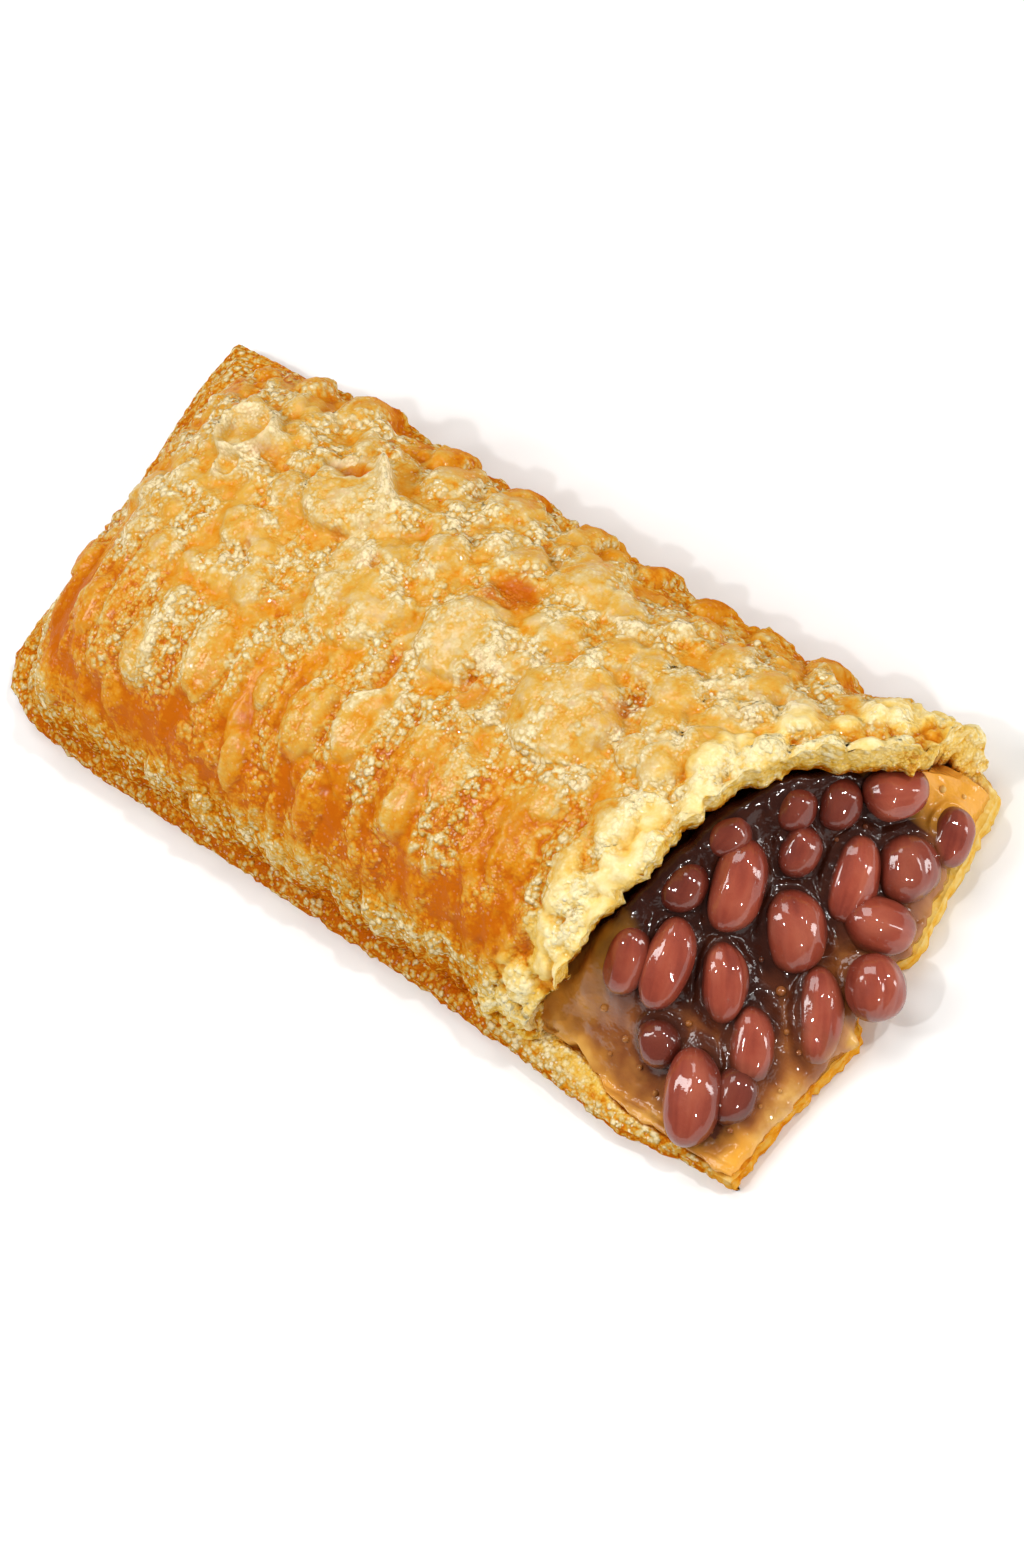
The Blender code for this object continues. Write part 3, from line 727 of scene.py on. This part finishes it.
def top_crust(material):
    bm, u, v = grid_sheet(DOME_ALONG, DOME_ACROSS)
    points = dome_place(u, v)
    normal = normals_of(dome_place, u, v)
    run = WHOLE_RISE + tear_line(points[:, 1]) - DOME_X - DOME_RISE
    out, looks = fried_relief(points, u * run, v * WHOLE_ARC / 2)
    foot = smooth(DOME_LOW - 0.5, DOME_LOW + 3.0, points[:, 2])
    points = points + normal * (out * (0.35 + 0.65 * foot))[:, None]
    put(bm, *points.T)
    looks["oily"] = looks["oily"] * smooth(0.3, 0.92, normal[:, 2])
    for key, values in looks.items():
        paint(bm, key, values)
    torn_wall(bm, u > 1 - 1e-6)
    close_below(bm, *DOME_SKIRT)
    crust = keep("fried_top_crust", bm, material)
    cut_hollow(crust)
    return crust


def torn_wall(bm, on_edge):
    """Draws the torn edge down and back, then swells it into rough crumb."""
    bm.verts.ensure_lookup_table()
    ends = {vert for vert, is_end in zip(bm.verts, on_edge) if is_end}
    edges = [edge for edge in border_of(bm) if set(edge.verts) <= ends]
    cap, toast, torn, calm, oily = (bm.verts.layers.float[key] for key in CRUST_LOOKS)
    step = TEAR_BAND / TEAR_ROWS
    rows = [list(ends)]
    for _ in range(TEAR_ROWS):
        verts, edges = draw_out(bm, edges)
        for vert in verts:
            down = -max(vert.co.z - 3.0, 0.0) / 14.0 - 0.15
            inward = Vector((0.0, -vert.co.y / 24.0, down)).normalized()
            vert.co += inward * step + Vector((-0.22 * step, 0, 0))
        rows.append(verts)
    for row, verts in enumerate(rows):
        for vert in verts:
            crumb = crumb_at(vert.co)
            grit = noise.noise(vert.co / 0.45)
            share = min(row / 3.0, 1.0)
            vert.co.x += share * (0.40 * crumb - 0.7 + 0.18 * grit)
            vert.co.z += share * 0.2 * crumb
            vert[torn], vert[calm], vert[toast], vert[oily] = 1.0, 0.4, 0.0, 0.35
            # Darker row by row down the torn wall: painted shade
            vert[cap] = 0.26 + 0.34 * crumb + 0.22 * grit - 0.025 * row


def hollow_cutter():
    bm, u, v = grid_sheet(CUTTER_ALONG, CUTTER_ACROSS)
    side, high = on_arc(v)
    x0 = DOME_X + CRUST
    x = x0 + (CUTTER_END - x0) * u ** 1.25
    wider = MOUTH_WIDER[2] * smooth(*MOUTH_WIDER[:2], x) * (1 - high) ** 2 * (side < 0)
    y = side * (half_at(x, side, CRUST) + wider)
    z = FLOOR - CUTTER_BELOW + (DOME_HIGH - CRUST - FLOOR + CUTTER_BELOW) * rise_at(x, x0) * high
    torn = smooth(24.0, 32.0, x)
    uneven = (0.3 + 0.5 * torn) * lumps(x, y, 2.6, 21) + 0.35 * torn * lumps(x, y, 1.1, 22)
    z = z + uneven * (high > 0.05)
    put(bm, x, y, z)
    close_below(bm, FLOOR - 1.5)
    return keep("hollow_cutter", bm, None)


def cut_hollow(crust):
    cutter = hollow_cutter()
    modifier = crust.modifiers.new("hollow", "BOOLEAN")
    modifier.operation = "DIFFERENCE"
    modifier.solver = "MANIFOLD"
    modifier.object = cutter
    graph = bpy.context.evaluated_depsgraph_get()
    mesh = bpy.data.meshes.new_from_object(crust.evaluated_get(graph))
    crust.modifiers.clear()
    old, crust.data = crust.data, mesh
    mesh.name = crust.name
    bpy.data.meshes.remove(old)
    bpy.data.objects.remove(cutter, do_unlink=True)


# ---- bottom crust

def edge_line(points, at):
    """A point at share 0 to 1 of the length of a line of corners, for whole arrays."""
    corners = np.array(points, float)
    length = np.concatenate([[0.0], np.cumsum(np.hypot(*np.diff(corners, axis=0).T))])
    run = np.asarray(at) * length[-1]
    return np.stack([np.interp(run, length, corners[:, i]) for i in (0, 1)], axis=1)


def patch(u, v):
    """Fills the outline of the bottom sheet: u from the closed end to the mouth, v near to far."""
    near_line = (CLOSED_END[-1], *NEAR_SIDE)
    far_line = FAR_SIDE[::-1]
    closed_line = (FAR_SIDE[-1], *CLOSED_END)[::-1]
    mouth_line = (NEAR_SIDE[-1], *MOUTH_EDGE, FAR_SIDE[0])
    w = (v + 1) / 2
    near, far = edge_line(near_line, u), edge_line(far_line, u)
    closed, mouth = edge_line(closed_line, w), edge_line(mouth_line, w)
    ends = (near_line[0], near_line[-1], far_line[0], far_line[-1])
    a, b, c, d = (np.array(end, float) for end in ends)
    u, w = u[:, None], w[:, None]
    corners = (1 - u) * (1 - w) * a + u * (1 - w) * b + (1 - u) * w * c + u * w * d
    return (1 - w) * near + w * far + (1 - u) * closed + u * mouth - corners


def crowd(t):
    """Pulls evenly spaced shares towards both ends, where the rim needs small faces."""
    return t - CROWDING * np.sin(2 * math.pi * t)


def sauce_side(x):
    """How far towards the near side the sauce spreads: inside the dome, then out over the rim."""
    return -24.0 - 2.6 * smooth(34.0, 42.0, x)


def mouth_looks(x, y):
    """Shares of the mouth's own edge, of its palest part, and of the paler dough towards it."""
    mouth = smooth(52.0, 54.5, x)
    return mouth, mouth * (0.55 + 0.45 * smooth(-4.0, 7.0, y)), smooth(20.0, 30.0, x)


def bottom_crust(material):
    bm, u, v = grid_sheet(SHEET_ALONG, SHEET_ACROSS)
    u, w = crowd(u), crowd((v + 1) / 2)
    x, y = patch(u, 2 * w - 1).T
    from_mouth = (1 - u) * SHEET_LONG
    rim = np.minimum.reduce([u * SHEET_LONG, from_mouth, w * SHEET_WIDE, (1 - w) * SHEET_WIDE])
    inner = y - sauce_side(x)
    open_end = smooth(30.0, 33.0, x) * smooth(-0.5, 0.6, inner) * smooth(21.6, 20.8, y)
    lip = smooth(2.2, 0.4, from_mouth) * open_end
    top = SHEET_TOP - (SHEET_TOP - FLOOR) * open_end + 0.4 * lip
    top = top - 0.55 * smooth(0.9, 0.0, rim) + 2.0 * smooth(0.5, 5.0, rim) * smooth(-47.0, -51.0, x)
    bubbles, tone = bubble_layer(x, y, 1.2, (0.45, 0.95), 0.85, 15)
    micro, _ = bubble_layer(x, y, 0.65, (0.28, 0.5), 1.0, 16)
    rough = 0.30 * bubbles + 0.12 * micro + 0.25 * lumps(x, y, 3.0, 12)
    put(bm, x, y, top + rough * (1 - 0.8 * open_end + 0.5 * lip))
    mouth, white, pale = mouth_looks(x, y)
    pale = pale * (1 - open_end)
    closed = smooth(-48.0, -52.0, x)
    cap = 0.02 + 0.34 * bubbles * (0.4 + 0.6 * tone) + 0.34 * pale + 0.2 * closed + 0.5 * white
    toast = 0.28 - 0.16 * closed + 0.2 * lumps(x, y, 4.0, 14) - 0.5 * pale - mouth
    torn = pale * smooth(0.1, 1.8, rim) + 0.85 * white
    calm, oily = np.maximum(open_end, mouth), np.full(len(x), 0.05)
    for key, values in zip(CRUST_LOOKS, (cap, toast, torn, calm, oily)):
        paint(bm, key, np.clip(values, 0, 1))
    rim_layers(bm)
    return keep("fried_bottom_crust", bm, material)


def rim_layers(bm):
    """Carries the border down through two pressed layers of dough to the flat underside."""
    cap, toast, torn, _, oily = (bm.verts.layers.float[key] for key in CRUST_LOOKS)
    edges = border_of(bm)
    before = 0.0
    for height, out in RIM_LEVELS:
        verts, edges = draw_out(bm, edges)
        sides = outward(verts, edges)
        lowest = height == 0
        for vert in verts:
            x, y, _ = vert.co
            crumb = noise.noise(Vector((x / 0.8, y / 0.8, height * 2.0)))
            wave = noise.noise(Vector((x / 3.0, y / 3.0, height)))
            mouth, white, pale = (float(share) for share in mouth_looks(x, y))
            step = (out - before) * (1 - 0.75 * mouth)
            vert.co += sides[vert] * (step + 0.16 * crumb + 0.05 * wave) * (0.6 if lowest else 1.0)
            low = 0.0 if lowest else min(height, vert.co.z - 0.1) + 0.12 * crumb
            vert.co.z = max(low, 0.0)
            vert[cap] = 0.12 + 0.40 * crumb + 0.1 * pale + 0.4 * white
            vert[toast] = max(0.0, 0.14 + 0.25 * wave + 0.2 * (height < 2.3) - 0.25 * pale - mouth)
            vert[torn] = max(0.2 * pale, 0.8 * white)
            vert[oily] = 0.0
        before = out
    bmesh.ops.contextual_create(bm, geom=edges)


def outward(verts, edges):
    """Level unit vectors pointing away from the sheet, for the vertices of a border loop."""
    around = {vert: [] for vert in verts}
    for edge in edges:
        a, b = edge.verts
        around[a].append(b)
        around[b].append(a)
    sides = {}
    for vert, pair in around.items():
        if len(pair) < 2:
            sides[vert] = Vector((0, 0, 0))
            continue
        along = (pair[0].co - pair[1].co).to_2d()
        side = Vector((along.y, -along.x, 0.0)).normalized()
        sides[vert] = side if side.dot(Vector((vert.co.x * 0.45, vert.co.y, 0.0))) > 0 else -side
    return sides


# ---- filling

def bean_frame(values):
    """Where a bean lies: its middle, and its length, breadth and face directions."""
    x, y, z, _, width, turn = values[:6]
    angle = math.radians(turn)
    z = max(z, FLOOR + GAP + 0.35 + width / 2)
    e = 0.5
    slope_x = float(face_height(x + e, y) - face_height(x - e, y)) / (2 * e)
    slope_y = float(face_height(x, y + e) - face_height(x, y - e)) / (2 * e)
    normal = Vector((-slope_x, -slope_y, 1.0)).normalized()
    up = Vector((0, 1, slope_y))
    up = (up - normal * up.dot(normal)).normalized()
    across = up.cross(normal)
    axis = up * math.cos(angle) + across * math.sin(angle)
    return Vector((x, y, z)), axis, normal.cross(axis), normal


def syrup_height(x, y):
    """The level of the syrup, drawn up a little round every bean."""
    level = face_height(x, y) - FACE_BACK * smooth(FACE_END + 1.0, FACE_END - 8.0, x)
    level = level + 0.38 * lumps(x, y, 3.0, 7) + 0.26 * lumps(x, y, 1.4, 9)
    for px, py, rise, wide in POOLS:
        level = level + rise * np.exp(-((x - px) ** 2 + (y - py) ** 2) / wide ** 2)
    level = np.maximum(level, FLOOR + 1.0)
    q = bean_nearness(x, y, level)
    return level + 1.05 * np.exp(-((np.maximum(q, 0.9) - 0.9) / 0.36) ** 2)


def bean_nearness(x, y, level):
    """How far out of the nearest bean a point of the syrup lies, in half widths of that bean."""
    nearest = np.full(len(x), 9.0)
    for values in BEANS:
        middle, axis, across, normal = bean_frame(values)
        away = np.stack([x - middle.x, y - middle.y, level - middle.z], axis=1)
        a = away @ np.array(axis) / (values[3] / 2)
        b = away @ np.array(across) / (values[4] / 2)
        c = away @ np.array(normal) / (values[4] / 2)
        beyond = 9.0 * (np.abs(c) > 1.6)
        nearest = np.minimum(nearest, np.sqrt(a * a + b * b + 0.4 * c * c) + beyond)
    return nearest


def syrup_depth(x, y):
    """How dark the syrup is: nearly black under the arch, caramel at the mouth and far wall, with
    painted shade under the torn wall and round every bean.
    """
    past = x - tear_line(y)
    deep = 0.37 + 0.65 * smooth(5.0, 11.5, face_height(x, y)) * smooth(-18.0, -12.0, y)
    deep = deep * smooth(-2.2, 6.0, mouth_end(y) - x) * (1 - smooth(13.5, 18.0, y))
    deep = deep * (1 - 0.75 * thin_rim(x, y))
    # Painted shade under the torn wall, where the arch overhangs the syrup
    hollow = smooth(4.5, 0.5, past) * smooth(-18.0, -10.0, y) * (1 - smooth(14.0, 17.5, y))
    q = bean_nearness(x, y, face_height(x, y))
    # Painted contact shade round every bean
    painted_contact_shade = 0.40 * np.exp(-((np.maximum(q, 1.0) - 1.0) / 0.38) ** 2) * (1 - smooth(15.0, 19.0, y))
    uneven = 0.18 * lumps(x, y, 2.4, 10) + 0.08 * lumps(x, y, 1.0, 34)
    return np.clip(np.maximum(deep, hollow) + painted_contact_shade + uneven, 0, 1)


def thin_rim(x, y):
    """Where the sauce thins out over the dough along the near rim."""
    return smooth(2.6, 0.2, y - sauce_side(x) + 0.5 * lumps(x, y, 1.6, 33))


def syrup(material):
    """The syrup: up to the torn walls, over the rim's inner edge and out to the torn mouth."""
    bm, u, v = grid_sheet(SYRUP_ALONG, SYRUP_ACROSS)
    side = 0.55 * v + 0.45 * on_arc(v)[0]
    across, still = side * SYRUP_HALF, side * 0
    wave = 0.45 * lumps(across, still, 2.2, 23) + 0.3 * lumps(across, still, 0.9, 25)
    end = mouth_end(side * DOME_NEAR) + SYRUP_EDGE + wave
    end = end + SPILL[1] * np.exp(-(((side * DOME_NEAR - SPILL[0]) / SPILL[2]) ** 2))
    start = tear_line(side * 22.0) - 6.0
    hidden = FILL_X0 + (start - FILL_X0) * (u / HIDDEN_SHARE)
    shown = start + (end - start) * (u - HIDDEN_SHARE) / (1 - HIDDEN_SHARE)
    x = np.where(u < HIDDEN_SHARE, hidden, shown)
    reach = -sauce_side(x) + 0.5 * lumps(x, x * 0, 2.5, 24) + 0.2 * lumps(x, x * 0, 0.9, 27)
    half = half_at(x, side, CRUST - 0.9)
    y = side * np.where(side < 0, half + (reach - half) * smooth(22.0, 27.0, x), half)
    past = x - tear_line(y)
    z = syrup_height(x, y)
    # Under the dome it stays below the crust's inner face
    low_side = smooth(-16.0, -20.0, y)
    under = arch_height(x, y, CRUST - 1.0) * (1 - low_side)
    under = np.maximum(under + low_side * arch_height(x, y, 0.9), FLOOR + 2.0)
    # Drawn up to the torn wall all along the near side
    to_wall = arch_height(x, y, CRUST + 0.1)
    cling = 0.75 * smooth(14.0, 8.0, y) + 0.25 * smooth(-8.0, -14.0, y)
    cling = np.exp(-((past + 0.8) / 1.7) ** 2) * cling * smooth(-24.0, -20.0, y)
    z = z + np.clip(to_wall - z, 0.0, 2.6) * cling
    z = z - (z - np.minimum(z, under)) * smooth(0.7, 0.1, past)
    z = np.maximum(z, FLOOR + 0.7 + 0.9 * smooth(-25.0, -26.2, y))
    brink = np.clip((end - x) / 1.3, 0.0, 1.0)
    z = z - (1 - np.sqrt(1 - (1 - brink) ** 2))
    put(bm, x, y, z)
    paint(bm, "deep", syrup_depth(x, y))
    paint(bm, "amber", syrup_amber(x, y, past))
    close_below(bm, FLOOR + 0.05)
    return keep("bean_syrup", bm, material)


def syrup_amber(x, y, past):
    """Where the syrup is amber: thin at the far wall, the near corner and the rim; along the near
    torn wall, painted light over the wall's shadow.
    """
    corner = smooth(-21.0, -24.5, y) * smooth(52.0, 55.5, x)
    amber = smooth(12.5, 16.5, y) * smooth(24.0, 20.5, y) + corner
    amber = np.maximum(amber, 0.45 * thin_rim(x, y))
    # Paler along the near torn wall, in the wall's shadow: painted light
    amber = np.maximum(amber, 0.40 * smooth(2.8, 0.6, past) * smooth(-11.0, -16.0, y))
    return np.clip(amber + 0.3 * lumps(x, y, 1.8, 28), 0, 1) * (amber > 0.02)


def beans(material):
    """Every bean that shows, plump with blunt ends, fine creases and its own tone."""
    whole = bmesh.new()
    dark_skin_and_painted_shade, tone, wetness, depth = [whole.verts.layers.float.new(key) for key in BEAN_LOOKS]
    for index, values in enumerate(BEANS):
        middle, axis, across, normal = bean_frame(values)
        length, width, _, dark, wrinkled = values[3:]
        turned = Matrix((axis, across, normal)).transposed()
        made = bmesh.ops.create_uvsphere(whole, u_segments=56, v_segments=40, radius=1.0)["verts"]
        for vert in made:
            a, b, c = vert.co.z, vert.co.x, vert.co.y
            plump = (abs(a) ** 2.2 + abs(b) ** 2.1 + abs(c) ** 2.1) ** (-1 / 2.13)
            a, b, c = a * plump, b * plump, c * plump
            angle = math.atan2(c, b)
            round_b, round_c = math.cos(angle), math.sin(angle)
            crease = noise.noise(Vector((round_b * 2.6, round_c * 2.6, a * 0.7 + index * 7.3)))
            fine = noise.noise(Vector((round_b * 6.5, round_c * 6.5, a * 1.1 + index * 3.1)))
            dent = noise.noise(Vector((a * 1.1 + index * 5.7, b * 1.1, c * 1.1)))
            wrinkle = wrinkled * (0.045 * crease + 0.03 * fine)
            swell = 1 + 0.09 * dent + 0.035 * crease + 0.014 * fine + wrinkle
            local = Vector((
                a * length / 2 * (1 + 0.02 * dent),
                b * width / 2 * swell + 0.06 * width * a * a,
                c * width * 0.48 * swell,
            ))
            vert.co = middle + turned @ local
            # Darker towards each bean's underside: painted shade and painted reflection of the dark
            # syrup
            vert[dark_skin_and_painted_shade] = min(dark + 0.60 * float(smooth(0.95, 0.05, c)), 1.0)
            vert[tone] = 0.58 + 0.30 * fine + 0.7 * dent
    x, y, z = np.array([vert.co[:] for vert in whole.verts]).T
    above = z - syrup_height(x, y)
    wet = 0.9 * smooth(1.1, -0.2, above + 0.35 * lumps(x, y, 1.3, 26))
    # The drowned parts take the syrup's colour, with its painted shade under the torn wall and
    # round the beans
    for vert, drowned, deep in zip(whole.verts, wet, syrup_depth(x, y)):
        vert[wetness], vert[depth] = drowned, deep
    return keep("red_beans", whole, material, merge=0)


# Bubbles that show in the syrup: x, y, radius
SYRUP_BUBBLES = (
    (50.4, -8.7, 0.55), (49.9, -12.3, 0.4), (51.1, -12.9, 0.28), (39.3, -21.0, 0.38),
    (41.6, -22.4, 0.3), (44.8, -16.6, 0.35), (36.4, -19.8, 0.45), (52.9, -11.7, 0.32),
    (47.6, -7.4, 0.3), (50.6, 0.9, 0.34), (52.6, -5.6, 0.42), (54.9, -12.7, 0.3),
    (40.2, -17.4, 0.26), (54.5, 6.3, 0.3), (49.2, 9.4, 0.3), (52.4, 17.6, 0.4),
    (53.9, 18.6, 0.28), (45.6, -19.9, 0.28), (38.0, -22.8, 0.26), (53.3, -22.9, 0.34),
    (54.4, -19.2, 0.26), (51.6, -24.0, 0.3), (44.1, -23.6, 0.34), (47.8, 6.6, 0.26),
    (55.1, -16.8, 0.24),
)


def syrup_bubbles(material):
    """Small air bubbles standing half out of the syrup."""
    bm = bmesh.new()
    deep = bm.verts.layers.float.new("deep")
    places = np.array([spot[:2] for spot in SYRUP_BUBBLES])
    levels = syrup_height(places[:, 0], places[:, 1])
    depths = syrup_depth(places[:, 0], places[:, 1])
    for (x, y, radius), level, depth in zip(SYRUP_BUBBLES, levels, depths):
        made = bmesh.ops.create_icosphere(bm, subdivisions=3, radius=radius)["verts"]
        bmesh.ops.translate(bm, verts=made, vec=(x, y, level + 0.25 * radius))
        for vert in made:
            vert[deep] = 0.7 * depth
    return keep("syrup_bubbles", bm, material, merge=0)


# ---- stage

STAGE_HALF, STAGE_Z = 1.2, -0.0002  # metres in the frame


def set_stage():
    scene = bpy.context.scene
    world = bpy.data.worlds.new("soft_room")
    scene.world = world
    world.use_nodes = True
    sky = world.node_tree.nodes["Background"]
    sky.inputs["Color"].default_value = (1.0, 0.985, 0.96, 1.0)
    sky.inputs["Strength"].default_value = 0.16

    bm = bmesh.new()
    bmesh.ops.create_grid(bm, x_segments=1, y_segments=1, size=STAGE_HALF)
    material, _, shader = material_of("pale_floor")
    set_inputs(shader, Base_Color=(0.94, 0.94, 0.93, 1.0), Roughness=0.9)
    floor = new_object("pale_floor", bm, material)
    floor.location.z = STAGE_Z


CAMERA_TURN, CAMERA_LIFT, CAMERA_ROLL = 68.0, 58.0, -34.5  # degrees
CAMERA_AWAY = 355.0
CAMERA_AIM = (8.8, -2.35, 5.0)
LENS = 77.28

# Lights: name, direction along the view's right, up and back, distance, width, height, power
LIGHTS = (
    ("left_softbox", -0.9, 0.25, 0.55, 0.7, 0.13, 0.42, 2.0),
    ("right_softbox", 0.95, 0.05, 0.45, 0.7, 0.11, 0.38, 1.5),
    ("top_softbox", -0.3, 0.8, 0.7, 0.8, 0.4, 0.3, 1.98),
    ("high_lamp", 0.25, 0.45, 0.9, 0.8, 0.035, 0.035, 1.35),
    ("left_lamp", -0.6, 0.1, 0.8, 0.8, 0.035, 0.035, 1.2),
    ("low_lamp", 0.35, -0.45, 0.85, 0.8, 0.035, 0.035, 1.2),
    ("right_lamp", 0.55, 0.3, 0.8, 0.8, 0.03, 0.03, 0.6),
)
LIT_POINT = Vector((0.01, 0.0, 0.01))  # metres in the frame


def camera_axes():
    """Right, up and back of the view, as the picture is turned."""
    turn, lift, roll = (math.radians(v) for v in (CAMERA_TURN, CAMERA_LIFT, CAMERA_ROLL))
    level = math.cos(lift)
    back = Vector((math.sin(turn) * level, -math.cos(turn) * level, math.sin(lift)))
    right = (-back).cross(Vector((0, 0, 1))).normalized()
    up = right.cross(-back)
    return (right * math.cos(roll) + up * math.sin(roll),
            up * math.cos(roll) - right * math.sin(roll), back)


def set_camera():
    right, up, back = camera_axes()
    aim = (Vector(CAMERA_AIM) - SHIFT) * MM
    data = bpy.data.cameras.new("view")
    data.lens = LENS
    data.sensor_width = 36.0
    data.clip_start = 0.01
    camera = bpy.data.objects.new("view", data)
    turned = Matrix((right, up, back)).transposed().to_4x4()
    camera.matrix_world = Matrix.Translation(aim + back * CAMERA_AWAY * MM) @ turned
    bpy.context.scene.collection.objects.link(camera)
    bpy.context.scene.camera = camera


def softbox(name, toward, away, wide, tall, power):
    """An area light that shines at the pie's middle from a direction in the frame."""
    data = bpy.data.lights.new(name, "AREA")
    data.shape = "DISK" if wide == tall else "RECTANGLE"
    data.size = wide
    if wide != tall:
        data.size_y = tall
    data.energy = power
    light = bpy.data.objects.new(name, data)
    light.location = LIT_POINT + Vector(toward).normalized() * away
    light.rotation_euler = Vector(toward).to_track_quat("Z", "Y").to_euler()
    bpy.context.scene.collection.objects.link(light)


def set_lights():
    right, up, back = camera_axes()
    for name, along, above, behind, away, wide, tall, power in LIGHTS:
        softbox(name, right * along + up * above + back * behind, away, wide, tall, power)


# ---- making

def dress():
    grain = fry_grain()
    top = top_crust(crust_material("fried_top", grain, 0.00026))
    bottom = bottom_crust(crust_material("fried_bottom", grain, 0.00024, 0.05))
    for piece in (top, bottom):
        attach(piece, "root")
        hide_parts("crust")
    sauce = sauce_material()
    for piece in (syrup(sauce), syrup_bubbles(sauce), beans(bean_material())):
        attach(piece, "root")
        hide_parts("bean_filling")


dress()
set_stage()
set_camera()
set_lights()
bpy.context.scene.view_settings.view_transform = "Standard"
